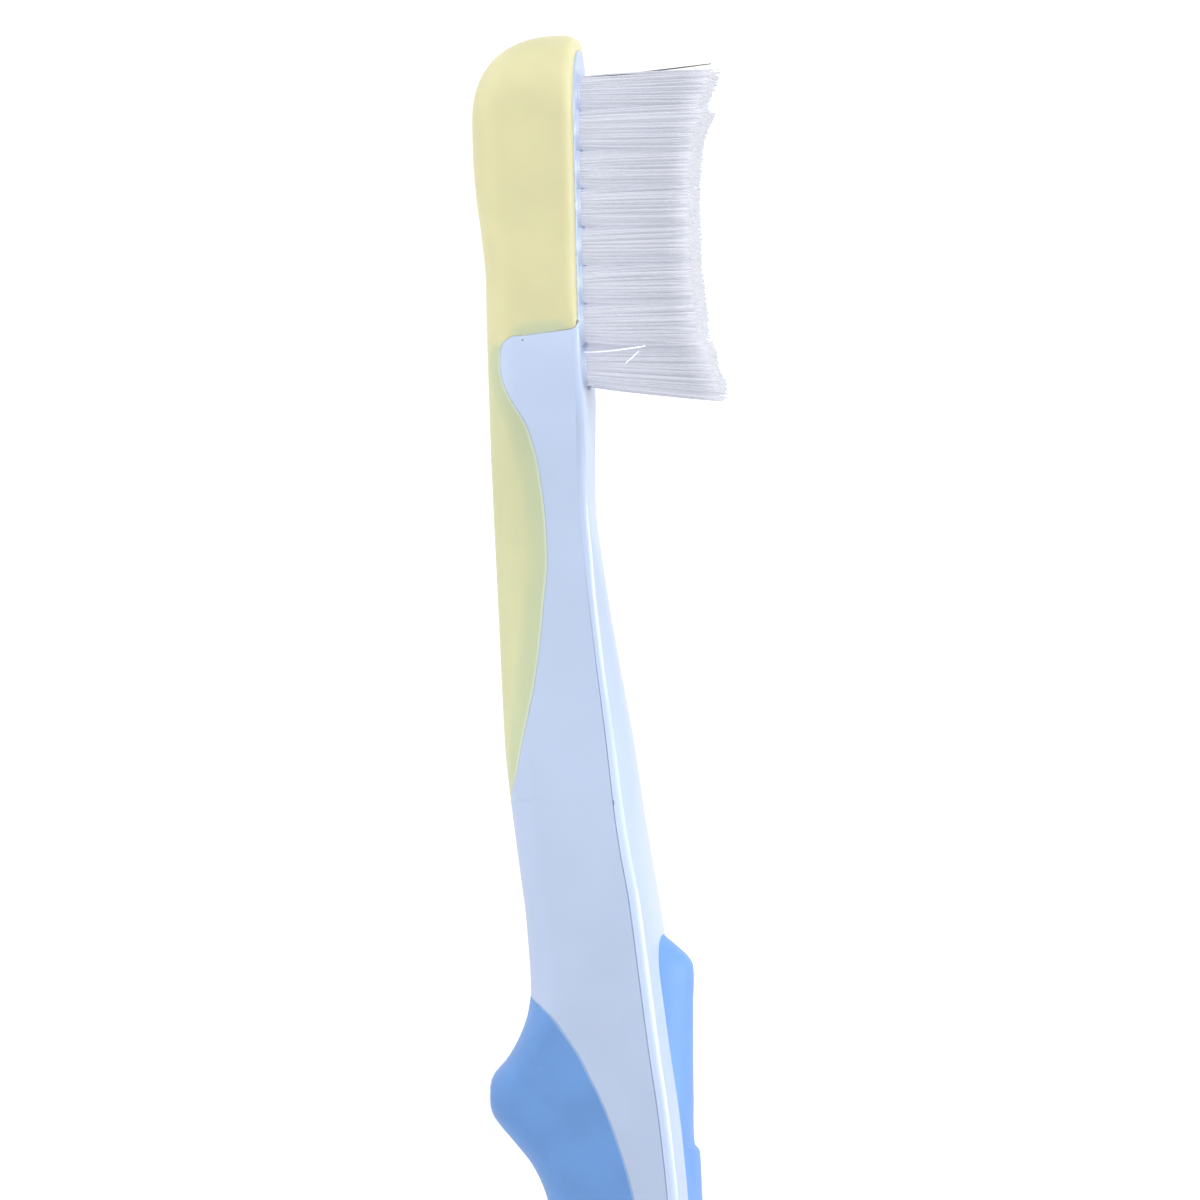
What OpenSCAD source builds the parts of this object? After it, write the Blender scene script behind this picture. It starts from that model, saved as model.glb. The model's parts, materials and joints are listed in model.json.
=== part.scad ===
// Child's manual toothbrush lying on its back, bristles up.
// X runs along the brush with the head at the low end, Z is up, and the origin is under the middle.
// Places along the brush are measured from the tip of the head and moved to the middle at the end.

/* [Lengths] */
// Length of the head, from its tip to the start of the neck
head_length = 25; // [22:0.5:30]
// Length of the neck, from the head to the start of the handle
neck_length = 37; // [28:1:50]
// Length of the handle, to its rounded end
handle_length = 84; // [70:1:100]

/* [Head] */
// Width of the head over its cushion
head_width = 11.4; // [10.6:0.1:13]
// Height of the cushion's rim above the table
rim_height = 7.2; // [6.6:0.1:8.5]
// Height of the bristle plate above the rim of the cushion
plate_rise = 0.55; // [0.3:0.05:1]
// Wall of the soft cushion round the head
cushion_wall = 1.1; // [0.8:0.05:1.3]
// Rounding of the cushion's rim
rim_radius = 0.8; // [0.4:0.05:0.9]
// Chamfer round the bristle plate
plate_chamfer = 0.2; // [0.1:0.05:0.3]
// Length of the cushion along the sides of the head
cushion_length = 21; // [19:0.5:23]
// Length of the cushion's tongue down the back of the neck
tongue_length = 33; // [24:1:36]

/* [Neck] */
// Width of the neck at its narrowest
neck_width = 6.2; // [5:0.1:8]
// Height of the neck's front face above the table
neck_front = 8.05; // [7.8:0.05:9]
// Rounding of the neck's front edges
neck_edge = 0.65; // [0.4:0.05:0.9]

/* [Handle] */
// Width of the handle over the grips
handle_width = 13.4; // [12:0.1:16]
// Height of the handle's front face above the table, under the thumb grip
handle_front = 14.35; // [13:0.05:16]
// Rounding of the handle's front edges
handle_edge = 0.9; // [0.6:0.05:1.4]
// Height of the back above the table just before the finger stop
heel_lift = 2.8; // [2:0.05:3.2]
// Height of the back above the table behind the finger stop
waist_lift = 4.1; // [3:0.1:4.6]
// Where the finger stop starts, from the start of the handle
stop_start = 6; // [4:0.5:9]
// Length of the finger stop
stop_length = 17.5; // [14:0.5:24]
// How far the finger stop would stand out if it were not flattened by its seat
stop_depth = 3.95; // [3.9:0.05:4.6]
// Length of the rounded end of the handle
end_length = 10; // [7:0.5:14]

/* [Thumb grip] */
// Where the thumb grip starts, from the start of the handle
thumb_start = 2.3; // [1:0.1:4]
// Length of the thumb grip
thumb_length = 50; // [40:1:60]
// Width of the thumb grip
thumb_width = 7.4; // [6:0.1:9]
// How far the thumb grip stands out at its tip
thumb_rise = 1.8; // [1:0.1:2.4]
// How deep the thumb grip is let into the handle
thumb_depth = 0.8; // [0.5:0.1:1.2]

/* [Back grip] */
// Length of the back grip
back_length = 60; // [50:1:70]
// Thickness of the back grip
back_wall = 1.2; // [0.8:0.1:1.4]

/* [Tufts] */
// Place of the first row of tufts, from the tip of the head
first_row = 4; // [3.8:0.1:4.5]
// Distance between rows
row_pitch = 2.79; // [2.5:0.01:2.85]
// Distance between the tufts of a row
tuft_pitch = 2.25; // [2.2:0.01:2.28]
// Width of a tuft hole
hole_width = 1.8; // [1.75:0.01:1.85]
// Depth of a tuft hole
hole_depth = 3.4; // [2.8:0.1:3.8]
// Gap round the root of a tuft
root_gap = 0.04; // [0.02:0.01:0.08]
// Height of the bristles above the plate at their lowest
bristle_height = 8.15; // [7:0.05:11]
// How much higher the bristles stand at the ends of the field
bristle_dish = 1.2; // [0:0.1:2]
// Thickness of a strand
strand = 0.265; // [0.18:0.005:0.27]
// Length of a metal anchor
anchor_length = 2.3; // [2.1:0.05:2.4]
// Height of a metal anchor
anchor_height = 1.3; // [1:0.1:1.6]
// Thickness of a metal anchor
anchor_thickness = 0.26; // [0.2:0.01:0.3]
// Gap round an anchor
anchor_gap = 0.02; // [0.01:0.01:0.04]

/* [Hidden] */
TUFTS_IN_ROW = [3, 4, 4, 4, 4, 4, 4, 3];
RING_STRANDS = 6;
STRANDS = 1 + 2 * RING_STRANDS;
HOLE_SIDES = 24;
PLACES = [for (r = [0:len(TUFTS_IN_ROW) - 1]) for (n = [0:TUFTS_IN_ROW[r] - 1]) [r, n]];

// Names and whole sizes
function tuft_name(p) = str("tuft_", p[0] + 1, "_", p[1] + 1);
brush_length = head_length + neck_length + handle_length;
handle_at = head_length + neck_length;
plate_height = rim_height + plate_rise;
stop_at = handle_at + stop_start;
seam = 0.12;
thumb_at = handle_at + thumb_start;
grain = 0.0001;
overrun = 0.1;

// Shape of the ends
nose_power = 2.4;
back_power = 2.6;
nose_length = 6.5;
nose_plan_length = 5.6;
nose_height = 6.5;
nose_front_length = 0.9;
end_height = 5.6;
back_round = 3;
back_round_share = 0.46;
edge_share = 0.42;
recess_share = 0.5;

// Form along the brush: a place counts zones, so 1 is the start of the neck and 2 that of the handle
function place(q) =
    q < 1 ? q * head_length
    : q < 2 ? head_length + (q - 1) * neck_length
    : handle_at + (q - 2) * handle_length;
waist_share = 2.07;
handle_width_share = 1.3;
plate_end_share = 1.02;
neck_front_share = 1.08;
// Height of the back before the finger stop, as a share of heel_lift
heel_shares = [
    [0, 0.01], [0.32, 0.01], [0.45, 0.064], [0.58, 0.19], [0.7, 0.263], [1.1, 0.263], [1.27, 0.3],
    [1.43, 0.356], [1.69, 0.456], [1.78, 0.56], [1.87, 0.69], [1.95, 0.81], [2.01, 0.915], [waist_share, 1]
];
// Height of the back behind the finger stop, from heel_lift at 0 to waist_lift at 1
waist_shares = [
    [waist_share, 0], [2.17, 0.55], [2.23, 0.85], [2.32, 1], [2.45, 0.75], [2.65, -0.95],
    [2.8, -2.15], [2.87, -2.3], [3, -2.3]
];
// Depth of the finger stop along its own length
stop_shares = [
    [0, 0], [0.086, 0.066], [0.177, 0.24], [0.27, 0.52], [0.354, 0.87], [0.4, 0.96], [0.446, 0.99],
    [0.5, 0.935], [0.54, 0.84], [0.63, 0.557], [0.714, 0.31], [0.806, 0.14], [0.87, 0.07], [1, 0]
];
// Height of the front face, from neck_front at 0 to handle_front at 1
front_shares = [
    [neck_front_share, 0], [1.2, 0.005], [1.35, 0.08], [1.52, 0.22], [1.69, 0.378], [1.86, 0.5], [2.013, 0.638],
    [2.067, 0.722], [2.13, 0.817], [2.167, 0.881], [2.204, 0.93], [2.254, 0.976], [2.33, 1],
    [2.51, 0.945], [2.69, 0.755], [2.83, 0.563], [3, 0.4]
];
// Half width, from the neck's at 0 to the head's at 1, and then from the neck's to the handle's
head_width_shares = [
    [0.76, 1], [0.86, 0.97], [0.95, 0.84], [1.05, 0.5], [1.16, 0.15], [handle_width_share, 0]
];
handle_width_shares = [
    [handle_width_share, 0], [1.4, 0.02], [1.57, 0.17], [1.73, 0.46], [1.89, 0.74], [2, 0.87], [2.07, 0.97],
    [2.17, 1], [2.27, 0.93], [2.4, 0.9], [2.52, 0.95], [2.67, 0.98], [2.8, 0.9], [2.9, 0.83], [3, 0.76]
];
// Crown of the front face as a share of the half width, and its edge from neck_edge to handle_edge
crown_shares = [
    [plate_end_share, 0], [1.2, 0.015], [1.45, 0.11], [1.6, 0.14], [1.75, 0.13], [1.9, 0.1], [2, 0.07], [3, 0.07]
];
edge_shares = [[plate_end_share, 0], [1.4, 0.1], [1.73, 0.7], [2, 1], [3, 1]];
// Edge of the cushion's tongue, as a share of the side wall's height
tongue_shares = [
    [0, 0.357], [0.03, 0.22], [0.085, 0.197], [0.13, 0.25], [0.224, 0.485], [0.318, 0.585],
    [0.415, 0.62], [0.51, 0.6], [0.6, 0.53], [0.7, 0.447], [0.794, 0.353], [0.89, 0.213], [1, 0]
];
// Edge of the back grip in the same way
back_edge_shares = [
    [0, 0], [0.025, 0.22], [0.052, 0.4], [0.078, 0.56], [0.103, 0.68], [0.13, 0.73], [0.157, 0.76],
    [0.208, 0.78], [0.25, 0.82], [0.45, 0.82], [0.7, 0.76], [0.88, 0.52], [0.96, 0.25], [1, 0]
];
// Height of the thumb grip over the front face, as a share of thumb_rise
thumb_shares = [
    [0, 0], [0.046, 1], [0.1, 0.79], [0.17, 0.52], [0.234, 0.25], [0.298, 0.04], [0.312, 0.24],
    [0.374, 0.17], [0.8, 0.15], [1, 0]
];
thumb_tip_length = 3.6;
thumb_tail_length = 9;
thumb_power = 2.6;
tongue_round = 3.6;
back_grip_round = 2.3;
tongue_at = cushion_length + seam;
tongue_end = tongue_at + tongue_length;
thumb_end = thumb_at + thumb_length;
back_end = stop_at + back_length;

// Steps of a section round the back, and the numbers of steps round the edge and over the front
back_step_shares = [0, 0.2, 0.4, 0.55, 0.7, 0.85, 1];
rim_step_share = 2.5;
EDGE_STEPS = 3;
FRONT_STEPS = 2;
FLOOR_STEPS = 4;

// Smooth curve through the rows of a table, which never overshoots them
function rise(t, i) = (t[i + 1][1] - t[i][1]) / (t[i + 1][0] - t[i][0]);
function tangent(t, i) =
    i == 0 || i == len(t) - 1 ? 0
    : let (a = rise(t, i - 1), b = rise(t, i)) a * b <= 0 ? 0 : 2 * a * b / (a + b);
function curve(t, x) =
    x <= t[0][0] ? t[0][1]
    : x >= t[len(t) - 1][0] ? t[len(t) - 1][1]
    : let (
        i = max([for (k = [0:len(t) - 2]) if (t[k][0] <= x) k]),
        w = t[i + 1][0] - t[i][0],
        u = (x - t[i][0]) / w
    )
    t[i][1] * (1 + 2 * u) * pow(1 - u, 2) + w * tangent(t, i) * u * pow(1 - u, 2)
    + t[i + 1][1] * (3 - 2 * u) * pow(u, 2) - w * tangent(t, i + 1) * (1 - u) * pow(u, 2);
function mix(a, b, t) = a + (b - a) * t;
// Round rise from 0 at u = 0 to 1 at u = 1
function round_in(u) = u <= 0 ? 0 : u >= 1 ? 1 : pow(1 - pow(1 - u, nose_power), 1 / nose_power);
// The same table with its places turned into lengths from the tip
function placed(t) = [for (r = t) [place(r[0]), r[1]]];
function along(t, start, span) = [for (r = t) [start + r[0] * span, r[1]]];
heel_table = placed(heel_shares);
waist_table = placed(waist_shares);
stop_table = along(stop_shares, stop_at, stop_length);
front_table = placed(front_shares);
head_width_table = placed(head_width_shares);
handle_width_table = placed(handle_width_shares);
crown_table = placed(crown_shares);
edge_table = placed(edge_shares);
tongue_table = along(tongue_shares, tongue_at, tongue_length);
back_edge_table = along(back_edge_shares, stop_at, back_length);
thumb_table = along(thumb_shares, thumb_at, thumb_length);

function end_in(x) = round_in((brush_length - x) / end_length);
function back_line(x) =
    (x < place(waist_share) ? heel_lift * curve(heel_table, x)
    : heel_lift + (waist_lift - heel_lift) * curve(waist_table, x))
    - stop_depth * curve(stop_table, x);
function full_width(x) =
    x < place(handle_width_share) ? mix(neck_width, head_width, curve(head_width_table, x))
    : mix(neck_width, handle_width, curve(handle_width_table, x));
function front_line(x) =
    x < place(plate_end_share) ? plate_height
    : let (u = min(1, (x - place(plate_end_share)) / (place(neck_front_share) - place(plate_end_share))))
    mix(plate_height, mix(neck_front, handle_front, curve(front_table, x)), u * u * (3 - 2 * u));

// A section holds half width, bottom, foot of the side wall, top of the edge, edge radius and crown
function section_of(half, low, high, edge, crown) =
    let (foot = low + min(back_round, back_round_share * (high - low)))
    [half, low, foot, high, min(edge, edge_share * half, high - foot), crown];
function outer_section(x) =
    let (
        nose = round_in(x / nose_length),
        end = end_in(x),
        half = full_width(x) / 2 * round_in(x / nose_plan_length) * end,
        crown = curve(crown_table, x) * half,
        top = x <= cushion_length
            ? mix(nose_height, rim_height, round_in(x / nose_front_length))
            : mix(end_height, front_line(x), end) - crown,
        edge = x <= cushion_length ? rim_radius : mix(neck_edge, handle_edge, curve(edge_table, x))
    )
    section_of(half, mix(nose_height, mix(end_height, back_line(x), end), nose), top, edge, crown);
function plate_section(x) =
    let (inside = x - cushion_wall)
    section_of(
        (full_width(x) / 2 - cushion_wall) * round_in(inside / nose_plan_length),
        mix(rim_height, back_line(x) + cushion_wall, round_in(inside / nose_length)),
        plate_height, plate_chamfer, 0
    );
function shrunk(s, wall) = section_of(s[0] - wall, s[1] + wall, s[3], s[4], s[5]);

// Point of a section: 0 to 1 round the back, to 2 up the side, to 3 round the edge, to 4 over the front
function section_point(s, v) =
    v <= 1 ? [
        s[0] * pow(sin(90 * v), 2 / back_power),
        s[2] - (s[2] - s[1]) * pow(cos(90 * v), 2 / back_power)
    ]
    : v <= 2 ? [s[0], mix(s[2], s[3] - s[4], v - 1)]
    : v <= 3 ? [s[0] - s[4] + s[4] * cos(90 * (v - 2)), s[3] - s[4] + s[4] * sin(90 * (v - 2))]
    : [(s[0] - s[4]) * (4 - v), s[3] + s[5] * (1 - pow(4 - v, 2))];
function at_height(s, z) =
    z <= s[1] ? 0
    : z < s[2] ? acos(pow((s[2] - z) / (s[2] - s[1]), back_power / 2)) / 90
    : min(2, 1 + (z - s[2]) / max(grain, s[3] - s[4] - s[2]));
function at_width(share) = share >= 1 ? 2 : asin(pow(share, back_power / 2)) / 90;

// Soft parts at a place: how far up the side they reach, how thick they are, and the thumb grip's half width
function is_bare(x) = x > tongue_end + grain && x < stop_at - grain || x > back_end + grain;
function edge_share_at(x) = x < tongue_end + grain ? curve(tongue_table, x) : curve(back_edge_table, x);
function edge_height(s, x) = mix(s[1], s[3] - s[4], edge_share_at(x));
function cover_wall(s, x) =
    is_bare(x) ? 0
    : min(x < tongue_end ? cushion_wall : back_wall, recess_share * (edge_height(s, x) - s[1]));
function thumb_half(x) =
    thumb_width / 2
    * round_in((x - thumb_at) / thumb_tip_length) * round_in((thumb_end - x) / thumb_tail_length);
function thumb_recess(x) = thumb_depth * min(1, thumb_half(x) / thumb_depth);
function thumb_height(s, x, y) =
    let (half = thumb_half(x), foot = front_height(s, half), top = front_height(s, 0))
    mix(
        foot, top + thumb_rise * curve(thumb_table, x),
        half <= grain ? 0 : pow(1 - pow(min(1, y / half), thumb_power), 1 / thumb_power)
    );
function front_height(s, y) = s[3] + s[5] * (1 - pow(y / max(grain, s[0] - s[4]), 2));

// Halves of the stretches that the pieces share, each from low to high or from the side to the middle
function in_head(x) = x <= cushion_length;
function cover_steps(end) = [for (v = concat(back_step_shares, [2, rim_step_share, end])) min(v, end)];
function side_steps(start, finish) = concat(
    [start],
    [for (k = [1:len(back_step_shares) - 1]) max(back_step_shares[k], start)],
    [for (k = [0:EDGE_STEPS - 1]) 2 + k / EDGE_STEPS],
    [for (k = [0:FRONT_STEPS]) mix(3, finish, k / FRONT_STEPS)]
);
// Step at which a soft part ends, low down where its own ends are rounded
function rounding(x) =
    x < tongue_end + grain ? round_in((tongue_end - x) / tongue_round)
    : round_in((x - stop_at) / back_grip_round) * round_in((back_end - x) / back_grip_round);
function cover_end(s, x) =
    is_bare(x) ? 0 : min(at_height(s, edge_height(outer_section(x), x)), at_width(rounding(x)));
function front_end(s, half) = 4 - min(1, half / max(grain, s[0] - s[4]));
function points_at(s, steps) = [for (v = steps) section_point(s, v)];
function cover_outside(x) =
    let (s = outer_section(x), p = plate_section(x))
    in_head(x) ? points_at(s, cover_steps(front_end(s, p[0]))) : points_at(s, cover_steps(cover_end(s, x)));
function cover_inside(x) =
    let (s = outer_section(x), p = plate_section(x), q = shrunk(s, cover_wall(s, x)))
    !in_head(x) ? points_at(q, cover_steps(cover_end(q, x)))
    : x < cushion_wall + grain ? [for (v = cover_steps(4)) [0, s[3]]]
    : points_at(p, cover_steps(at_height(p, s[3])));
function bare_side(x) =
    let (
        s = in_head(x) ? plate_section(x) : outer_section(x),
        start = in_head(x) ? at_height(s, outer_section(x)[3]) : cover_end(s, x)
    )
    points_at(s, side_steps(start, front_end(s, thumb_half(x))));
function thumb_floor(x) =
    let (s = outer_section(x), half = thumb_half(x), deep = thumb_recess(x))
    in_head(x) ? [for (k = [0:FLOOR_STEPS]) [0, plate_height]]
    : [for (k = [0:FLOOR_STEPS])
        let (y = half * (1 - k / FLOOR_STEPS)) [y, front_height(s, y) - deep]];
function thumb_top(x) =
    let (s = outer_section(x), half = thumb_half(x))
    [for (k = [0:FLOOR_STEPS])
        let (y = half * cos(90 * k / FLOOR_STEPS)) [y, thumb_height(s, x, y)]];

// A ring is a right half and its mirror image, at a place along the brush and never below the table
function snapped(a) = round(a / grain) * grain;
function spot(x, p, side) = [snapped(x - brush_length / 2), snapped(side * p[0]), snapped(max(0, p[1]))];
function backwards(list) = [for (k = [len(list) - 1:-1:0]) list[k]];
function ring(x, half) = concat([for (p = half) spot(x, p, 1)], [for (p = backwards(half)) spot(x, p, -1)]);

// Skin through a row of rings, each cell split along its shorter diagonal, with flat cells left out
function same(a, b) = norm(a - b) < grain / 2;
function face(pts, a, b, c) =
    same(pts[a], pts[b]) || same(pts[b], pts[c]) || same(pts[a], pts[c]) ? [] : [[a, b, c]];
module skin(rings) {
    around = len(rings[0]);
    pts = [for (r = rings) for (p = r) p];
    faces = [for (i = [0:len(rings) - 2]) for (j = [0:around - 1])
        let (
            a = i * around + j, b = i * around + (j + 1) % around,
            c = b + around, d = a + around,
            cell = norm(pts[a] - pts[c]) <= norm(pts[b] - pts[d])
                ? concat(face(pts, a, d, c), face(pts, a, c, b))
                : concat(face(pts, a, d, b), face(pts, d, c, b))
        )
        each cell];
    polyhedron(pts, faces);
}

// Places of the rings, closer together where the form turns
corner_length = 1.2;
function in_order(list) =
    len(list) < 2 ? list
    : let (
        pivot = list[floor(len(list) / 2)],
        low = [for (v = list) if (v < pivot - grain) v],
        high = [for (v = list) if (v > pivot + grain) v]
    )
    concat(in_order(low), [pivot], in_order(high));
function places_after(t, x) = [for (i = [1:len(t) - 1]) if (t[i][0] > x + grain)
    each [mix(t[i - 1][0], t[i][0], 1 / 2), t[i][0]]];
function spread(a, b, n) = [for (k = [0:n - 1]) mix(a, b, k / n)];
function ease_in(a, b, n) = [for (k = [0:n - 1]) mix(a, b, 1 - cos(90 * k / n))];
function ease_out(a, b, n) = [for (k = [0:n - 1]) mix(a, b, sin(90 * k / n))];
stations = in_order(concat(
    ease_in(0, cushion_wall, 4),
    ease_in(cushion_wall, nose_length, 7),
    spread(nose_length, cushion_length, 5),
    [cushion_length],
    ease_in(tongue_at, tongue_at + corner_length, 2),
    spread(tongue_at + corner_length, tongue_end - tongue_round, 14),
    ease_out(tongue_end - tongue_round, tongue_end, 6),
    spread(tongue_end, thumb_at, 5),
    ease_in(thumb_at, thumb_at + thumb_tip_length, 5),
    ease_in(stop_at, stop_at + back_grip_round, 5),
    [stop_at + back_grip_round],
    places_after(stop_table, stop_at + back_grip_round + corner_length),
    spread(stop_at + stop_length, thumb_end - thumb_tail_length, 6),
    ease_out(thumb_end - thumb_tail_length, thumb_end, 5),
    spread(thumb_end, back_end - back_grip_round, 4),
    ease_out(back_end - back_grip_round, back_end, 5),
    spread(back_end, brush_length - end_length, 3),
    ease_out(brush_length - end_length, brush_length, 8),
    [brush_length]
));
function between(a, b) = [for (x = stations) if (x > a - grain && x < b + grain) x];

function tuft_spot(p) = [
    first_row + p[0] * row_pitch - brush_length / 2,
    (p[1] - (TUFTS_IN_ROW[p[0]] - 1) / 2) * tuft_pitch
];

module body() {
    color([0.74, 0.81, 0.93])
        difference() {
            skin([for (x = between(cushion_wall, brush_length))
                ring(x, concat(cover_inside(x), bare_side(x), thumb_floor(x)))]);
            for (p = PLACES)
                translate(concat(tuft_spot(p), plate_height - hole_depth))
                    tuft_hole();
        }
}

anchor_floor = 0.7;
module tuft_hole() {
    cylinder(d = hole_width, h = hole_depth + overrun, $fn = HOLE_SIDES);
    translate([0, 0, anchor_floor + anchor_height / 2 + anchor_gap / 2])
        cube(
            [anchor_length + 2 * anchor_gap, anchor_thickness + 2 * anchor_gap, anchor_height + anchor_gap],
            center = true
        );
}

module head_cushion() {
    color([0.88, 0.86, 0.68])
        skin([for (x = between(0, tongue_end)) ring(x, concat(cover_outside(x), backwards(cover_inside(x))))]);
}

module back_grip() {
    color([0.42, 0.6, 0.84])
        skin([for (x = between(stop_at, back_end))
            ring(x, concat(cover_outside(x), backwards(cover_inside(x))))]);
}

module thumb_grip() {
    color([0.5, 0.7, 0.95])
        skin([for (x = between(handle_at, thumb_end))
            ring(x, concat(backwards(thumb_floor(x)), thumb_top(x)))]);
}

module anchors() {
    color([0.78, 0.7, 0.45])
        for (p = PLACES)
            translate(concat(tuft_spot(p), plate_height - hole_depth + anchor_floor + anchor_height / 2))
                cube([anchor_length, anchor_thickness, anchor_height], center = true);
}

// Strands of a tuft: one in the middle and two rings of six, each tuft turned its own way
root_inset = 0.2;
strand_root = 0.4;
strand_pitch = 0.385;
tuft_spread_share = 1.4;
trim_jitter = 0.12;
toe_lean = 0.35;
heel_lean = 0.8;
lowest_share = 0.47;
strand_angle = 360 / RING_STRANDS;
function on_circle(r, a) = r * [cos(a), sin(a)];
function strand_place(n, turn) =
    n == 0 ? [0, 0]
    : n <= RING_STRANDS ? on_circle(strand_pitch, strand_angle * n + turn)
    : on_circle(strand_pitch * sqrt(3), strand_angle * (n + 0.5) + turn);
function trim_height(p) =
    let (rows = len(TUFTS_IN_ROW) - 1, u = (p[0] / rows - lowest_share) / (1 - lowest_share))
    bristle_height + bristle_dish * u * u;
function lean(p) = p[0] == 0 ? -toe_lean : p[0] == len(TUFTS_IN_ROW) - 1 ? heel_lean : 0;
module strand_of(foot, p, high) {
    tip = foot * tuft_spread_share + [lean(p), 0];
    low = -root_inset - strand_root;
    h = strand / 2;
    corners = [[-h, -h], [h, -h], [h, h], [-h, h]];
    polyhedron(
        concat(
            [for (c = corners) concat(foot + c, low)],
            [for (c = corners) concat(tip + c, high)]
        ),
        concat(
            [[0, 2, 3], [0, 1, 2], [4, 7, 6], [4, 6, 5]],
            [for (k = [0:3]) let (m = (k + 1) % 4) each [[k, k + 4, m + 4], [k, m + 4, m]]]
        )
    );
}
module tuft(p) {
    seed = p[0] * len(TUFTS_IN_ROW) + p[1];
    jitters = rands(-trim_jitter, trim_jitter, STRANDS, seed);
    turn = rands(0, strand_angle, 1, seed)[0];
    root_length = hole_depth - root_gap - root_inset;
    color([0.9, 0.9, 0.94])
        translate(concat(tuft_spot(p), plate_height)) {
            difference() {
                translate([0, 0, -root_inset - root_length])
                    cylinder(d = hole_width - 2 * root_gap, h = root_length, $fn = HOLE_SIDES);
                translate([0, 0, -hole_depth + anchor_floor + anchor_height / 2])
                    cube(
                        [hole_width + overrun, anchor_thickness + 2 * anchor_gap, anchor_height + 2 * anchor_gap],
                        center = true
                    );
            }
            for (n = [0:STRANDS - 1])
                strand_of(strand_place(n, turn), p, trim_height(p) + jitters[n]);
        }
}

body();
head_cushion();
thumb_grip();
back_grip();
anchors();
for (p = PLACES)
    tuft(p);
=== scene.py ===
import json
import math
import random
from collections import namedtuple

import bmesh
import bpy
from bpy.props import FloatProperty, FloatVectorProperty, IntProperty, PointerProperty
from mathutils import Matrix, Vector


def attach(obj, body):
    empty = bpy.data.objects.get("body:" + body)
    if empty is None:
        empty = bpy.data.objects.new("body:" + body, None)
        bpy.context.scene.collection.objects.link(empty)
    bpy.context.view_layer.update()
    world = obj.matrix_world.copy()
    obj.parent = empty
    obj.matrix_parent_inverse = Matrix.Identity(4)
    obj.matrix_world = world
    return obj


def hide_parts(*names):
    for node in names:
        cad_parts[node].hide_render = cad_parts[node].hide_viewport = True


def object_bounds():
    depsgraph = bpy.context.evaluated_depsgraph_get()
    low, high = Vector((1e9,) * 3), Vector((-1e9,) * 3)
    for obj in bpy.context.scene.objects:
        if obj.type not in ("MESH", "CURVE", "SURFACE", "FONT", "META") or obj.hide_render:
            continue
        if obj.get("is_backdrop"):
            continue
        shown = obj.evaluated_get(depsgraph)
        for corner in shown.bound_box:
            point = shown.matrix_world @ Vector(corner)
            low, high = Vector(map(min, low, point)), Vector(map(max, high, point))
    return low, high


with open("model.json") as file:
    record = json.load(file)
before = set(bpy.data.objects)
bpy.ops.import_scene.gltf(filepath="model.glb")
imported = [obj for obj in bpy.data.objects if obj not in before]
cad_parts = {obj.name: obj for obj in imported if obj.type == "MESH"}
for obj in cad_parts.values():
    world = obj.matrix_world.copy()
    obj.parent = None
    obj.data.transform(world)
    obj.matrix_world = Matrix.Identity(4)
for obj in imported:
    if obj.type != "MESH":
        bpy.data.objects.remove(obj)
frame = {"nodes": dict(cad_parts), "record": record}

# Child's toothbrush, lying on its back with the bristles up. Lengths are in metres, X runs along the
# brush and Z is up. A place is the distance from the tip of the head, and is moved to X at the end.

bl_info = {
    "name": "Child's Toothbrush",
    "version": (1, 0, 0),
    "blender": (4, 5, 0),
    "location": "3D View > Sidebar > Toothbrush",
    "description": "Dresses a moulded toothbrush: handle, soft grips, tufts and studio",
    "category": "Add Mesh",
}

CAD_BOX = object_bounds()
BODY = "root"
MM = 0.001


def length(name, description, millimetres):
    """A size that the user can change, with its default in millimetres."""
    default = millimetres * MM
    return FloatProperty(
        name=name, description=description, default=default, min=0, unit="LENGTH", subtype="DISTANCE"
    )


def ratio(name, description, default, **limits):
    """A share or a factor that the user can change."""
    return FloatProperty(name=name, description=description, default=default, **limits)


def colour(name, description, *rgb):
    """A colour that the user can change."""
    return FloatVectorProperty(
        name=name, description=description, default=rgb, min=0, max=1, size=3, subtype="COLOR"
    )


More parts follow.
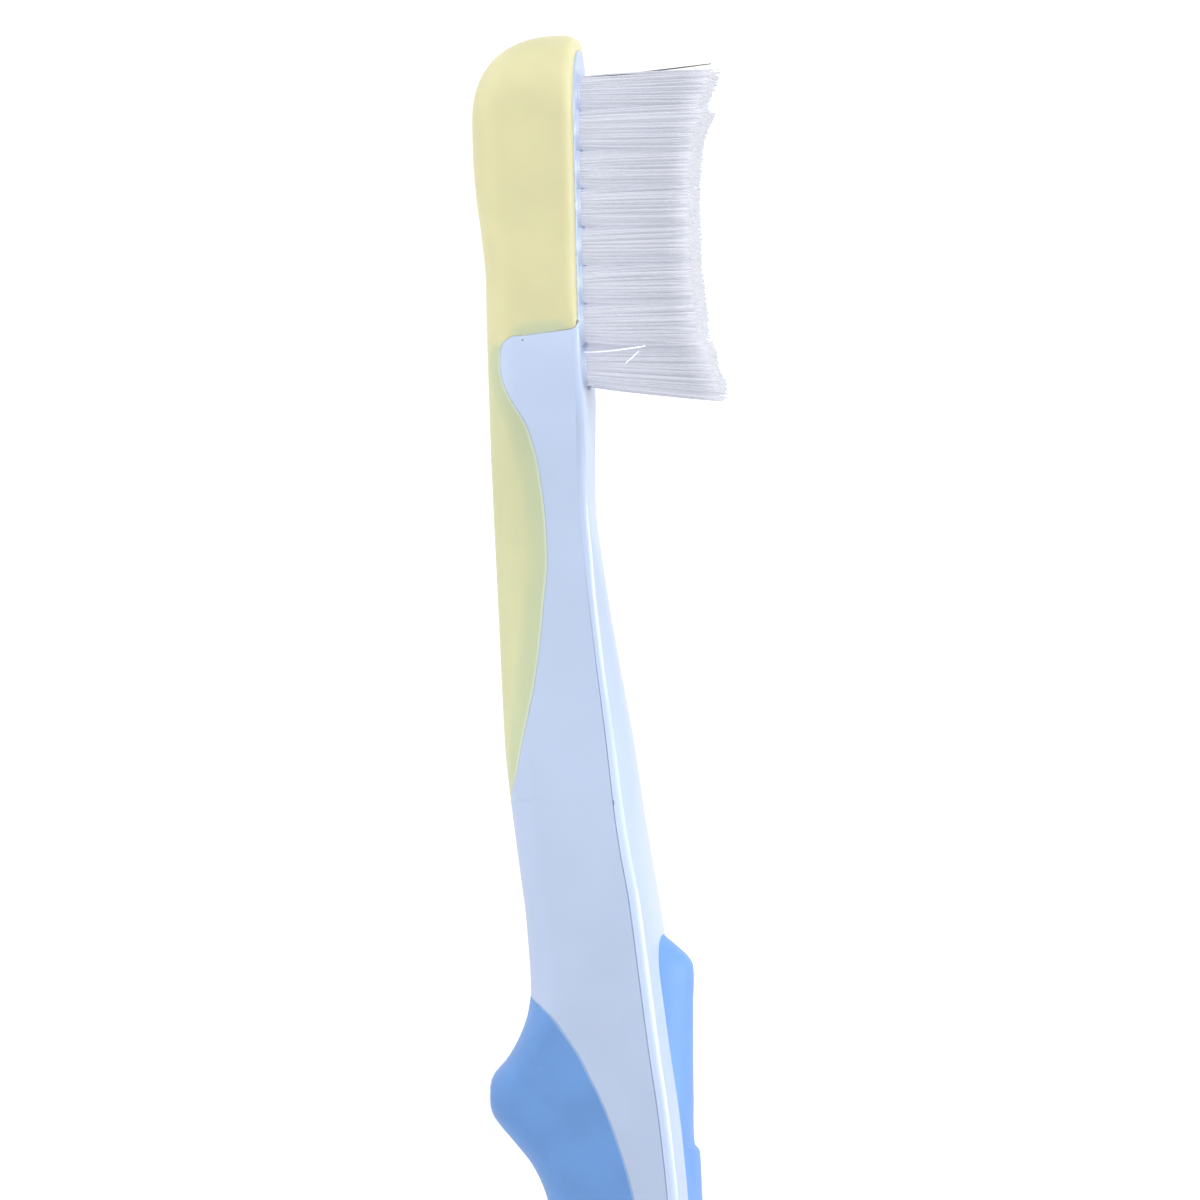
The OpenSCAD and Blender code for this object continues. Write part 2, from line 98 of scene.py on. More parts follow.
class BrushSizes(bpy.types.PropertyGroup):
    """Sizes of the moulded parts."""

    head_length: length("Head length", "From the tip to the start of the neck", 25)
    neck_length: length("Neck length", "From the head to the start of the handle", 37)
    handle_length: length("Handle length", "From the neck to the rounded end", 84)
    head_width: length("Head width", "Width of the head over its cushion", 11.4)
    rim_height: length("Rim height", "Height of the cushion's rim above the table", 7.62)
    plate_rise: length("Plate rise", "Height of the bristle plate above the rim", 0.13)
    cushion_wall: length("Cushion wall", "Thickness of the cushion round the head", 1.1)
    rim_radius: length("Rim radius", "Rounding of the cushion's rim", 0.8)
    plate_chamfer: length("Plate chamfer", "Rounding of the bristle plate's edge", 0.2)
    cushion_length: length("Cushion length", "How far the cushion runs down the sides of the head", 21)
    tongue_length: length("Tongue length", "Length of the cushion's tongue down the neck", 33.5)
    neck_width: length("Neck width", "Width of the neck at its narrowest", 6.2)
    neck_front: length("Neck front", "Height of the neck's front face", 8.05)
    neck_edge: length("Neck edge", "Depth of the neck's front edges", 0.65)
    handle_width: length("Handle width", "Width of the handle over the grips", 13.4)
    handle_front: length("Handle front", "Height of the handle's front face", 14.35)
    handle_edge: length("Handle edge", "Depth of the handle's front edges", 0.9)
    heel_lift: length("Heel lift", "Height of the back just before the finger stop", 2.8)
    waist_lift: length("Waist lift", "Height of the back behind the finger stop", 4.1)
    stop_start: length("Stop start", "Where the finger stop starts on the handle", 6)
    stop_length: length("Stop length", "Length of the finger stop", 17.5)
    stop_depth: length("Stop depth", "How far the finger stop stands out", 3.95)
    end_length: length("End length", "Length of the rounded end of the handle", 10)
    thumb_start: length("Thumb grip start", "Where the thumb grip starts on the handle", 2.3)
    thumb_length: length("Thumb grip length", "Length of the thumb grip", 50)
    thumb_width: length("Thumb grip width", "Width of the thumb grip", 7.4)
    thumb_rise: length("Thumb grip rise", "How far the thumb grip stands out at its tip", 1.8)
    thumb_depth: length("Thumb grip depth", "How deep the thumb grip is let in", 0.8)
    back_length: length("Back grip length", "Length of the back grip", 60)
    back_wall: length("Back grip wall", "Thickness of the back grip", 1.2)
    groove: length("Parting groove", "Depth of the mould's parting groove along the front edges", 0.08)
    lip: length("Lip", "Rounding of the soft parts' edges", 0.05)
    proud: length("Proud", "How far the soft parts stand proud of the hard plastic", 0.025)


class BrushBristles(bpy.types.PropertyGroup):
    """Sizes of the tufts."""

    first_row: length("First row", "Place of the first row of tufts", 4.35)
    row_pitch: length("Row pitch", "Distance between rows", 2.74)
    tuft_pitch: length("Tuft pitch", "Distance between the tufts of a row", 2.25)
    hole_width: length("Hole width", "Width of a tuft hole", 1.8)
    hole_depth: length("Hole depth", "Depth of a tuft hole", 3.4)
    collar_height: length("Collar height", "How far the plastic stands up round a tuft hole", 0.25)
    height: length("Height", "Height of the bristles where they are lowest", 7.92)
    dish: length("Dish", "How much higher the bristles stand near the ends of the field", 1.3)
    filament: length("Filament", "Thickness of a filament", 0.12)
    filaments: IntProperty(name="Filaments", description="Number of filaments in a tuft", default=200, min=6)
    stretch: ratio("Stretch", "How much longer a tuft is than it is wide", 1.42)
    flare: ratio("Flare", "How far a tuft opens out towards its tips", 1.25)
    stagger: length("Stagger", "How far the inner tufts of a row are set back from the outer ones", 0.3)
    jitter: length("Jitter", "Unevenness of the trim", 0.07)
    stray: ratio("Strays", "Share of the filaments that stray", 0.04, min=0, max=1)


class BrushColours(bpy.types.PropertyGroup):
    """Colours of the plastics."""

    hard: colour("Hard plastic", "Pale blue moulded plastic", 0.545, 0.65, 0.866)
    cushion: colour("Cushion", "Pale yellow elastomer", 0.68, 0.655, 0.385)
    cushion_thin: colour("Thin cushion", "The cushion where the plastic shows through it", 0.53, 0.6, 0.39)
    back_grip: colour("Back grip", "Mid blue elastomer", 0.135, 0.3, 0.635)
    thumb_grip: colour("Thumb grip", "Lighter blue elastomer", 0.158, 0.34, 0.75)
    nylon: colour("Nylon", "Bristle filaments", 0.377, 0.383, 0.412)
    anchor: colour("Anchor", "Metal that holds the tufts", 0.57, 0.45, 0.17)
    floor: colour("Floor", "Table top", 0.2, 0.2, 0.2)


# Form along the brush, close to that of the solids. Each row has a place and a share of a size. These
# places count zones: 1 is the start of the neck, 2 that of the handle and 3 its end.
WAIST_SHARE = 2.07
WIDTH_SHARE = 1.3
PLATE_END_SHARE = 0.97
NECK_FRONT_SHARE = 1.04
HEEL_SHARES = (
    (0, 0.01), (0.32, 0.01), (0.45, 0.064), (0.58, 0.19), (0.7, 0.263), (1.1, 0.263), (1.27, 0.3),
    (1.43, 0.356), (1.69, 0.456), (1.78, 0.56), (1.87, 0.69), (1.95, 0.81), (2.01, 0.915), (WAIST_SHARE, 1),
)
WAIST_SHARES = (
    (WAIST_SHARE, 0), (2.17, 0.55), (2.23, 0.85), (2.32, 1), (2.45, 0.75), (2.65, -0.95),
    (2.8, -2.15), (2.87, -2.3), (3, -2.3),
)
FRONT_SHARES = (
    (NECK_FRONT_SHARE, -0.03), (1.2, -0.025), (1.35, 0.075), (1.52, 0.22), (1.69, 0.378), (1.86, 0.5),
    (2.013, 0.638), (2.067, 0.722), (2.13, 0.817), (2.167, 0.881), (2.204, 0.93), (2.254, 0.976),
    (2.33, 1), (2.51, 0.945), (2.69, 0.755), (2.83, 0.563), (3, 0.4),
)
HEAD_WIDTH_SHARES = (
    (0.76, 1), (0.86, 0.97), (0.95, 0.84), (1.05, 0.5), (1.16, 0.15), (WIDTH_SHARE, 0),
)
HANDLE_WIDTH_SHARES = (
    (WIDTH_SHARE, 0), (1.4, 0.02), (1.57, 0.17), (1.73, 0.46), (1.89, 0.74), (2, 0.87), (2.07, 0.97),
    (2.17, 1), (2.27, 0.93), (2.4, 0.9), (2.52, 0.95), (2.67, 0.98), (2.8, 0.9), (2.9, 0.83), (3, 0.76),
)
CROWN_SHARES = (
    (PLATE_END_SHARE, 0), (1.2, 0.02), (1.45, 0.15), (1.6, 0.175), (1.75, 0.155), (1.9, 0.12), (2, 0.095),
    (3, 0.095),
)
EDGE_SHARES = ((PLATE_END_SHARE, 0), (1.4, 0.1), (1.73, 0.7), (2, 1), (3, 1))
BAND_SHARES = ((0.87, 0.6), (1.02, 0.8), (1.2, 1), (3, 1))

# Form of the finger stop and the soft pieces. Here a place is a share of that piece's length.
STOP_SHARES = (
    (0, 0), (0.086, 0.066), (0.177, 0.24), (0.27, 0.52), (0.354, 0.87), (0.4, 0.96), (0.446, 0.99),
    (0.5, 0.935), (0.54, 0.84), (0.63, 0.557), (0.714, 0.31), (0.806, 0.14), (0.87, 0.07), (1, 0),
)
TONGUE_SHARES = (
    (0, 0.357), (0.005, 0.3), (0.014, 0.25), (0.031, 0.214), (0.082, 0.197), (0.125, 0.25),
    (0.216, 0.485), (0.307, 0.585), (0.4, 0.62), (0.492, 0.6), (0.579, 0.53), (0.675, 0.447),
    (0.766, 0.353), (0.859, 0.235), (0.94, 0.13), (1, 0.03),
)
BACK_EDGE_SHARES = (
    (0, 0), (0.025, 0.22), (0.052, 0.39), (0.078, 0.53), (0.103, 0.63), (0.13, 0.69), (0.157, 0.715),
    (0.208, 0.725), (0.25, 0.745), (0.45, 0.8), (0.7, 0.76), (0.88, 0.52), (0.96, 0.25), (1, 0),
)
THUMB_SHARES = (
    (-0.01, -0.24), (0, 0), (0.041, 0.98), (0.045, 1), (0.1, 0.79), (0.17, 0.52), (0.234, 0.25),
    (0.3, 0.04), (0.311, 0.24), (0.374, 0.17), (0.8, 0.15), (1, 0),
)

# Where the thumb grip steps up, and the rounding of ends, edges and recesses
THUMB_STEP_SHARE = 0.305
NOSE_POWER = 2.4
BACK_POWER = 2.6
THUMB_POWER = 2.6
NOSE_LENGTH = 6.5 * MM
NOSE_PLAN_LENGTH = 5.6 * MM
NOSE_HEIGHT = 6.5 * MM
NOSE_FRONT_LENGTH = 0.9 * MM
END_HEIGHT = 5.6 * MM
BACK_ROUND = 3 * MM
BACK_ROUND_SHARE = 0.46
EDGE_SHARE = 0.42
RECESS_SHARE = 0.5
THUMB_TIP_LENGTH = 3.6 * MM
THUMB_TAIL_LENGTH = 9 * MM
TONGUE_ROUND = 1.5 * MM
BACK_GRIP_ROUND = 2.3 * MM
SEAM = 0.02 * MM
TINY = 0.0001 * MM

Section = namedtuple("Section", "half low foot high edge crown")


def mix(a, b, share):
    return a + (b - a) * share


def clamp(value, low=0.0, high=1.0):
    return max(low, min(high, value))


def ease(share):
    """Smooth step from 0 to 1."""
    share = clamp(share)
    return share * share * (3 - 2 * share)


def round_in(share):
    """Round rise from 0 to 1, for a rounded end."""
    return (1 - (1 - clamp(share)) ** NOSE_POWER) ** (1 / NOSE_POWER)


def smooth_curve(table):
    """Smooth curve through the rows of a table, which never overshoots them."""
    places, values = zip(*table)
    slopes = [(values[i + 1] - values[i]) / (places[i + 1] - places[i]) for i in range(len(table) - 1)]
    tangents = [0.0]
    for a, b in zip(slopes, slopes[1:]):
        tangents.append(0.0 if a * b <= 0 else 2 * a * b / (a + b))
    tangents.append(0.0)

    def curve(place):
        if place <= places[0]:
            return values[0]
        if place >= places[-1]:
            return values[-1]
        i = max(k for k in range(len(slopes)) if places[k] <= place)
        width = places[i + 1] - places[i]
        u = (place - places[i]) / width
        return (
            values[i] * (1 + 2 * u) * (1 - u) ** 2
            + width * tangents[i] * u * (1 - u) ** 2
            + values[i + 1] * (3 - 2 * u) * u**2
            - width * tangents[i + 1] * (1 - u) * u**2
        )

    return curve


class BrushForm:
    """The outline of the brush, worked out from its sizes."""

    def __init__(self, sizes):
        self.sizes = sizes
        self.handle_at = sizes.head_length + sizes.neck_length
        self.total = self.handle_at + sizes.handle_length
        self.plate_height = sizes.rim_height + sizes.plate_rise
        self.thumb_at = self.handle_at + sizes.thumb_start
        self.thumb_end = self.thumb_at + sizes.thumb_length
        self.stop_at = self.handle_at + sizes.stop_start
        self.back_end = self.stop_at + sizes.back_length
        self.tongue_at = sizes.cushion_length + SEAM
        self.tongue_end = self.tongue_at + sizes.tongue_length
        self.heel = self.zoned(HEEL_SHARES)
        self.waist = self.zoned(WAIST_SHARES)
        self.stop = self.laid(STOP_SHARES, self.stop_at, sizes.stop_length)
        self.front = self.zoned(FRONT_SHARES)
        self.head_width = self.zoned(HEAD_WIDTH_SHARES)
        self.handle_width = self.zoned(HANDLE_WIDTH_SHARES)
        self.crown = self.zoned(CROWN_SHARES)
        self.edge = self.zoned(EDGE_SHARES)
        self.band = self.zoned(BAND_SHARES)
        self.tongue = self.laid(TONGUE_SHARES, self.tongue_at, sizes.tongue_length)
        self.back_edge = self.laid(BACK_EDGE_SHARES, self.stop_at, sizes.back_length)
        self.thumb = self.laid(THUMB_SHARES, self.thumb_at, sizes.thumb_length)

    def place(self, zone):
        sizes = self.sizes
        if zone < 1:
            return zone * sizes.head_length
        if zone < 2:
            return sizes.head_length + (zone - 1) * sizes.neck_length
        return self.handle_at + (zone - 2) * sizes.handle_length

    def zoned(self, table):
        return smooth_curve([(self.place(zone), value) for zone, value in table])

    def laid(self, table, start, span):
        return smooth_curve([(start + share * span, value) for share, value in table])

    def end_in(self, at):
        return round_in((self.total - at) / self.sizes.end_length)

    def back_line(self, at):
        sizes = self.sizes
        if at < self.place(WAIST_SHARE):
            line = sizes.heel_lift * self.heel(at)
        else:
            line = mix(sizes.heel_lift, sizes.waist_lift, self.waist(at))
        return line - sizes.stop_depth * self.stop(at)

    def full_width(self, at):
        sizes = self.sizes
        if at < self.place(WIDTH_SHARE):
            return mix(sizes.neck_width, sizes.head_width, self.head_width(at))
        return mix(sizes.neck_width, sizes.handle_width, self.handle_width(at))

    def front_line(self, at):
        start, end = self.place(PLATE_END_SHARE), self.place(NECK_FRONT_SHARE)
        if at < start:
            return self.plate_height
        line = mix(self.sizes.neck_front, self.sizes.handle_front, self.front(at))
        return mix(self.plate_height, line, ease((at - start) / (end - start)))

    def section(self, half, low, high, edge, crown):
        foot = low + min(BACK_ROUND, BACK_ROUND_SHARE * (high - low))
        return Section(half, low, foot, high, min(edge, EDGE_SHARE * half, high - foot), crown)

    def in_head(self, at):
        return at <= self.sizes.cushion_length

    def outer(self, at):
        """Section over everything, soft parts included."""
        sizes = self.sizes
        nose = round_in(at / NOSE_LENGTH)
        end = self.end_in(at)
        half = self.full_width(at) / 2 * round_in(at / NOSE_PLAN_LENGTH) * end
        crown = self.crown(at) * half
        if self.in_head(at):
            top = mix(NOSE_HEIGHT, sizes.rim_height, round_in(at / NOSE_FRONT_LENGTH))
            edge = mix(SEAM_EDGE, sizes.rim_radius, ease((sizes.cushion_length - at) / SEAM_FADE))
        else:
            top = mix(END_HEIGHT, self.front_line(at), end) - crown
            edge = self.edge_depth(at) * self.band(at)
        low = mix(NOSE_HEIGHT, mix(END_HEIGHT, self.back_line(at), end), nose)
        return self.section(half, low, top, edge, crown)

    def plate(self, at):
        """Section of the hard plate inside the cushion."""
        sizes = self.sizes
        inside = at - sizes.cushion_wall
        return self.section(
            (self.full_width(at) / 2 - sizes.cushion_wall) * round_in(inside / NOSE_PLAN_LENGTH),
            mix(sizes.rim_height, self.back_line(at) + sizes.cushion_wall, round_in(inside / NOSE_LENGTH)),
            self.plate_height, sizes.plate_chamfer, 0.0,
        )

    def shrunk(self, sec, wall):
        return self.section(sec.half - wall, sec.low + wall, sec.high, sec.edge, sec.crown)

    def point(self, sec, step):
        """0 to 1 round the back, to 2 up the side, to 3 round the edge, to 4 over the front."""
        if step <= 1:
            turn = math.radians(90 * step)
            return (
                sec.half * math.sin(turn) ** (2 / BACK_POWER),
                sec.foot - (sec.foot - sec.low) * max(0.0, math.cos(turn)) ** (2 / BACK_POWER),
            )
        if step <= 2:
            return sec.half, mix(sec.foot, sec.high - sec.edge, step - 1)
        if step <= 3:
            turn = math.radians(90 * (step - 2))
            return (
                sec.half - sec.edge + sec.edge * math.cos(turn),
                sec.high - sec.edge + sec.edge * math.sin(turn),
            )
        return (sec.half - sec.edge) * (4 - step), sec.high + sec.crown * (1 - (4 - step) ** 2)

    def at_height(self, sec, z):
        if z <= sec.low:
            return 0.0
        if z < sec.foot:
            share = (sec.foot - z) / (sec.foot - sec.low)
            return math.degrees(math.acos(clamp(share ** (BACK_POWER / 2)))) / 90
        return min(2.0, 1 + (z - sec.foot) / max(TINY, sec.high - sec.edge - sec.foot))

    def at_width(self, share):
        if share >= 1:
            return 2.0
        return math.degrees(math.asin(share ** (BACK_POWER / 2))) / 90

    def is_bare(self, at):
        return self.tongue_end < at < self.stop_at or at > self.back_end

    def edge_height(self, sec, at):
        share = self.tongue(at) if at <= self.tongue_end else self.back_edge(at)
        return mix(sec.low, sec.high - min(self.edge_depth(at), EDGE_SHARE * sec.half), share)

    def edge_depth(self, at):
        return mix(self.sizes.neck_edge, self.sizes.handle_edge, self.edge(at))

    def cover_wall(self, sec, at):
        if self.is_bare(at):
            return 0.0
        wall = self.sizes.cushion_wall if at <= self.tongue_end else self.sizes.back_wall
        return min(wall, RECESS_SHARE * (self.edge_height(sec, at) - sec.low))

    def cover_end(self, sec, at):
        """Step at which the soft part at a place ends."""
        if self.is_bare(at):
            return 0.0
        if at <= self.tongue_end:
            rounding = round_in((self.tongue_end - at) / TONGUE_ROUND)
        else:
            rounding = round_in((at - self.stop_at) / BACK_GRIP_ROUND)
            rounding *= round_in((self.back_end - at) / BACK_GRIP_ROUND)
        return min(self.at_height(sec, self.edge_height(self.outer(at), at)), self.at_width(rounding))

    def seam_bend(self, at, z):
        """How far the cushion's end leans: off the tip on the back, and round towards it beside the rim."""
        sec = self.outer(self.tongue_at)
        lean = SEAM_TILT * clamp((sec.high - z) / (sec.high - sec.foot))
        high = clamp((z - sec.high) / SEAM_CORNER + 1)
        corner = SEAM_CORNER * (1 - math.sqrt(1 - high**2))
        return (lean - corner) * ease(1 - abs(at - self.sizes.cushion_length) / SEAM_FADE)

    def seam_groove(self, at, z):
        """Rounding of the cushion's end and of the plastic beside it, on the sides of the head."""
        reach = clamp(1 - abs(at - self.sizes.cushion_length - SEAM / 2) / self.sizes.lip)
        return self.sizes.lip * self.beside_seam(z) * (1 - math.sqrt(1 - reach**2))

    def beside_seam(self, z):
        """1 where the cushion's end shows at a height, fading to 0 on the back, where its tongue goes on."""
        foot = self.edge_height(self.outer(self.tongue_at), self.tongue_at)
        return ease((z - foot) / SEAM_CORNER + 0.5)

    def front_height(self, sec, y):
        return sec.high + sec.crown * (1 - (y / max(TINY, sec.half - sec.edge)) ** 2)

    def thumb_half(self, at):
        tip = round_in((at - self.thumb_at) / THUMB_TIP_LENGTH)
        tail = round_in((self.thumb_end - at) / THUMB_TAIL_LENGTH)
        return self.sizes.thumb_width / 2 * tip * tail

    def thumb_height(self, sec, at, y):
        half = self.thumb_half(at)
        foot, top = self.front_height(sec, half), self.front_height(sec, 0)
        if half <= TINY:
            return foot
        swell = 1 - min(1.0, y / half) ** THUMB_POWER
        return mix(foot, top + self.sizes.thumb_rise * self.thumb(at), swell)


# Rings of points round the pieces, each given as the half on one side of the brush. A point is
# (y, z, mark), and the mark goes into the piece's attribute: polish on the body, where the groove's mark
# also sets a painted shadow, and on the soft pieces how thin they look.
OVER_STEPS = (10, 6, 8, 3)
FLOOR_STEPS = 14
SIDE_STEPS = 26
FRONT_STEPS = 6
LIP_STEPS = 4
THUMB_STEPS = 20
THUMB_FLOOR_STEPS = 6
GROOVE_START = 30 * MM
GROOVE_FADE = 22 * MM
BAND_SLOPE = 0.5
SEAM_CORNER = 0.6 * MM
SEAM_FADE = 3 * MM
SEAM_EDGE = 0.3 * MM
SEAM_TILT = 0.45 * MM
LIP_SHARE = 0.5
NEARBY = 0.01
GROOVE_MARK = 0.5
TONGUE_TINT = 0.4
INSIDE_TINT = 0.3
END_PLACE = 3.5
FRINGE = 3 * MM
SEAM_FRINGE = 1.4 * MM
AIR = 0.02 * MM
# Rows of share of the inset, share of the rise and depth of the groove
BAND_OUTLINE = (
    (0, 0, 0), (0, 0.02, 0.7), (0, 0.06, 1), (0, 0.1, 0.7), (0, 0.13, 0), (0.1, 0.22, 0), (0.2, 0.44, 0),
    (0.26, 0.52, 0), (0.56, 0.74, 0), (0.89, 0.965, 0), (0.94, 0.985, 0), (1, 1, 0),
)


def steps(start, end, count):
    return [mix(start, end, k / count) for k in range(count + 1)]


def quarter_turn(count):
    return [math.radians(turn) for turn in steps(0, 90, count)]


def lip_points(beside, corner, radius, facing, mark):
    """Quarter round where a surface ends at a corner (facing 1), or where it starts there (facing -1)."""
    along = Vector(corner[:2]) - Vector(beside[:2])
    if along.length < TINY:
        along = Vector((facing, 0.0))
    along.normalize()
    normal = Vector((along.y, -along.x)) * facing
    centre = Vector(corner[:2]) - along * radius - normal * radius
    points = []
    for turn in quarter_turn(LIP_STEPS):
        points.append((*(centre + radius * (normal * math.cos(turn) + along * math.sin(turn))), mark))
    return points[::facing]


def step_over(form, sec, step, distance):
    """Steps of a section that make up a distance along it."""
    gap = math.dist(form.point(sec, step), form.point(sec, step + NEARBY))
    return distance * NEARBY / max(TINY, gap)


def section_points(form, sec, start, end, count, mark=0.0):
    """Points between two steps of a section."""
    return [(*form.point(sec, step), mark) for step in steps(start, end, count)]


def front_points(form, sec, start, end, count, deep, mark):
    """Points across the front, let in by a depth."""
    return [(y, form.front_height(sec, y) - deep, mark) for y in steps(start, end, count)]


def lip_radius(form, wall, share=1.0):
    return min(form.sizes.lip * share, wall * RECESS_SHARE)


def edge_points(form, sec, at):
    """The front edge: a rounding on the plate, and past it the parting groove with a sloped band above."""
    foot = sec.high - sec.edge
    if form.in_head(at):
        turns = quarter_turn(len(BAND_OUTLINE) - 1)
        return [(sec.half - sec.edge * (1 - math.cos(t)), foot + sec.edge * math.sin(t), 1.0) for t in turns]
    share = ease((at - GROOVE_START) / GROOVE_FADE) * form.end_in(at)
    inset = BAND_SLOPE * sec.edge
    rise = form.front_height(sec, sec.half - inset) - foot
    points = []
    for y, z, dip in BAND_OUTLINE:
        dip *= share
        mark = mix(1, GROOVE_MARK, dip) if z else 0.0
        points.append((sec.half - inset * y - form.sizes.groove * dip, foot + rise * z, mark))
    return points


def body_ring(form, at):
    """The body's ring: the floor under the soft pieces, its lip, the bare side, the edge and the front."""
    outer = form.outer(at)
    if form.in_head(at):
        sec = form.plate(at)
        start = form.at_height(sec, outer.high)
        floor = section_points(form, sec, 0, start, FLOOR_STEPS)
        lip = [floor[-1]] * (LIP_STEPS + 1)
        thumb = 0.0
    else:
        sec = outer
        wall = form.cover_wall(outer, at)
        inner = form.shrunk(outer, wall)
        floor = section_points(form, inner, 0, form.cover_end(inner, at), FLOOR_STEPS)
        end = form.cover_end(outer, at)
        radius = lip_radius(form, wall, LIP_SHARE)
        start = min(2.0, end + step_over(form, sec, end, radius))
        lip = lip_points(form.point(sec, end + NEARBY), form.point(sec, end), radius, -1, GROOVE_MARK)
        thumb = form.thumb_half(at)
    side = section_points(form, sec, start, 2, SIDE_STEPS)
    edge = edge_points(form, sec, at)
    deep = min(form.sizes.thumb_depth, thumb)
    front = front_points(form, sec, edge[-1][0], thumb, FRONT_STEPS, 0, 1.0)
    recess = front_points(form, sec, thumb, 0, THUMB_FLOOR_STEPS, deep, 1.0)
    return floor + lip + side[1:] + edge + front[1:] + recess


def over_places(end):
    """Places over the whole outside, from the middle of the back to a last one on the front's rounding."""
    places = [0]
    for start, stop, count in zip((0, 1, 2, 3), (1, 2, 3, end), OVER_STEPS):
        places += steps(start, stop, count)[1:]
    return places


def cover_ring(form, at):
    """The cushion's or back grip's ring: its outside from the back up, then its inside back down."""
    outer = form.outer(at)
    if form.in_head(at):
        plate = form.plate(at)
        end = 4 - min(1.0, plate.half / max(TINY, outer.half - outer.edge))
        near_seam = ease(1 - (form.sizes.cushion_length - at) / SEAM_FRINGE)
        outside = [form.point(outer, v) for v in over_places(end)[:-1]] + [(plate.half, outer.high)]
        pale = [ease((z - outer.high) / SEAM_FRINGE + 1) for _, z in outside]
        outside = [(y, z, near_seam * form.beside_seam(z) * (1 - p)) for (y, z), p in zip(outside, pale)]
        lip = [outside[-1]] * (LIP_STEPS + 1)
        shut = form.at_height(plate, outer.high)
        inside = [form.point(plate, v) for v in steps(shut, 0, FLOOR_STEPS)]
        return outside + lip + [(y, min(z, outer.high), INSIDE_TINT * near_seam) for y, z in inside]
    wall = form.cover_wall(outer, at)
    end = form.cover_end(outer, at)
    radius = lip_radius(form, wall)
    past_seam = ease((at - form.tongue_at) / FRINGE)
    proud = min(form.sizes.proud * past_seam, wall * RECESS_SHARE)
    skin = outer._replace(half=outer.half + proud)
    stop = max(0.0, end - step_over(form, skin, end, radius))
    corner = form.point(skin, end)
    tint = TONGUE_TINT * past_seam if at <= form.tongue_end else 0.0
    outside = []
    # Beside the seam the points keep the places that they have on the head, and then they spread evenly
    for shared, own in zip(over_places(END_PLACE), steps(0, stop, sum(OVER_STEPS))):
        y, z = form.point(skin, mix(min(shared, stop), own, past_seam))
        near = ease(1 - math.dist((y, z), corner) / FRINGE) if wall > TINY else 1.0
        near = mix(form.beside_seam(z), near, ease((at - form.tongue_at) / SEAM_FRINGE))
        outside.append((y, z, max(near, tint)))
    lip = lip_points(form.point(skin, max(0.0, end - NEARBY)), corner, radius, 1, 1.0)
    inner = form.shrunk(outer, max(0.0, wall - AIR))
    return outside + lip + section_points(form, inner, form.cover_end(inner, at), 0, FLOOR_STEPS, 1.0)


def thumb_ring(form, at):
    """The thumb grip's ring: its floor from the middle to the side, then its top back to the middle."""
    sec = form.outer(at)
    half = form.thumb_half(at)
    deep = max(0.0, min(form.sizes.thumb_depth, half) - AIR)
    ring = front_points(form, sec, 0, half, THUMB_FLOOR_STEPS, deep, 0.0)
    for turn in quarter_turn(THUMB_STEPS):
        y = half * math.cos(turn)
        ring.append((y, form.thumb_height(sec, at, y), 1 - math.sin(turn) ** 0.5))
    return ring


# Building
STATION_GAP = 0.45 * MM
KEY_REACH = 3 * MM
KEY_STEPS = 9
SHARP_ANGLE = math.radians(38)
MERGE = 0.002 * MM


def stations(form, start, end):
    """Places of the rings, closer together beside the ends of each part."""
    sizes = form.sizes
    keys = (
        0, sizes.cushion_wall, sizes.cushion_length + SEAM / 2, form.tongue_end, form.thumb_at,
        form.thumb_at + THUMB_STEP_SHARE * sizes.thumb_length, form.thumb_end, form.stop_at, form.back_end,
        form.total,
    )
    places = steps(start, end, round((end - start) / STATION_GAP))
    for key in keys:
        for k in range(-KEY_STEPS, KEY_STEPS + 1):
            places.append(key + KEY_REACH * (k / KEY_STEPS) ** 3)
    places += [sizes.cushion_length, form.tongue_at]
    kept = []
    for place in sorted(places):
        if start <= place <= end and (not kept or place - kept[-1] > MERGE):
            kept.append(place)
    return kept


def linked(name, data):
    """A new object in the scene, at the origin."""
    made = bpy.data.objects.new(name, data)
    bpy.context.scene.collection.objects.link(made)
    return made


def new_object(name, bm):
    """A new object from a bmesh."""
    mesh = bpy.data.meshes.new(name)
    bm.to_mesh(mesh)
    bm.free()
    return linked(name, mesh)


def verts_of(items):
    return [item for item in items if isinstance(item, bmesh.types.BMVert)]


def copies(bm, count):
    """Repeats what is in a bmesh, in place, and gives the vertices of the first one and of each copy."""
    pattern = bm.verts[:] + bm.edges[:] + bm.faces[:]
    groups = [verts_of(pattern)]
    for _ in range(count - 1):
        groups.append(verts_of(bmesh.ops.duplicate(bm, geom=pattern)["geom"]))
    return groups


def smoothed(bm):
    """Smooth shading, with creases where the surface turns sharply."""
    for face in bm.faces:
        face.smooth = True
    for edge in bm.edges:
        edge.smooth = len(edge.link_faces) == 2 and edge.calc_face_angle(0) < SHARP_ANGLE


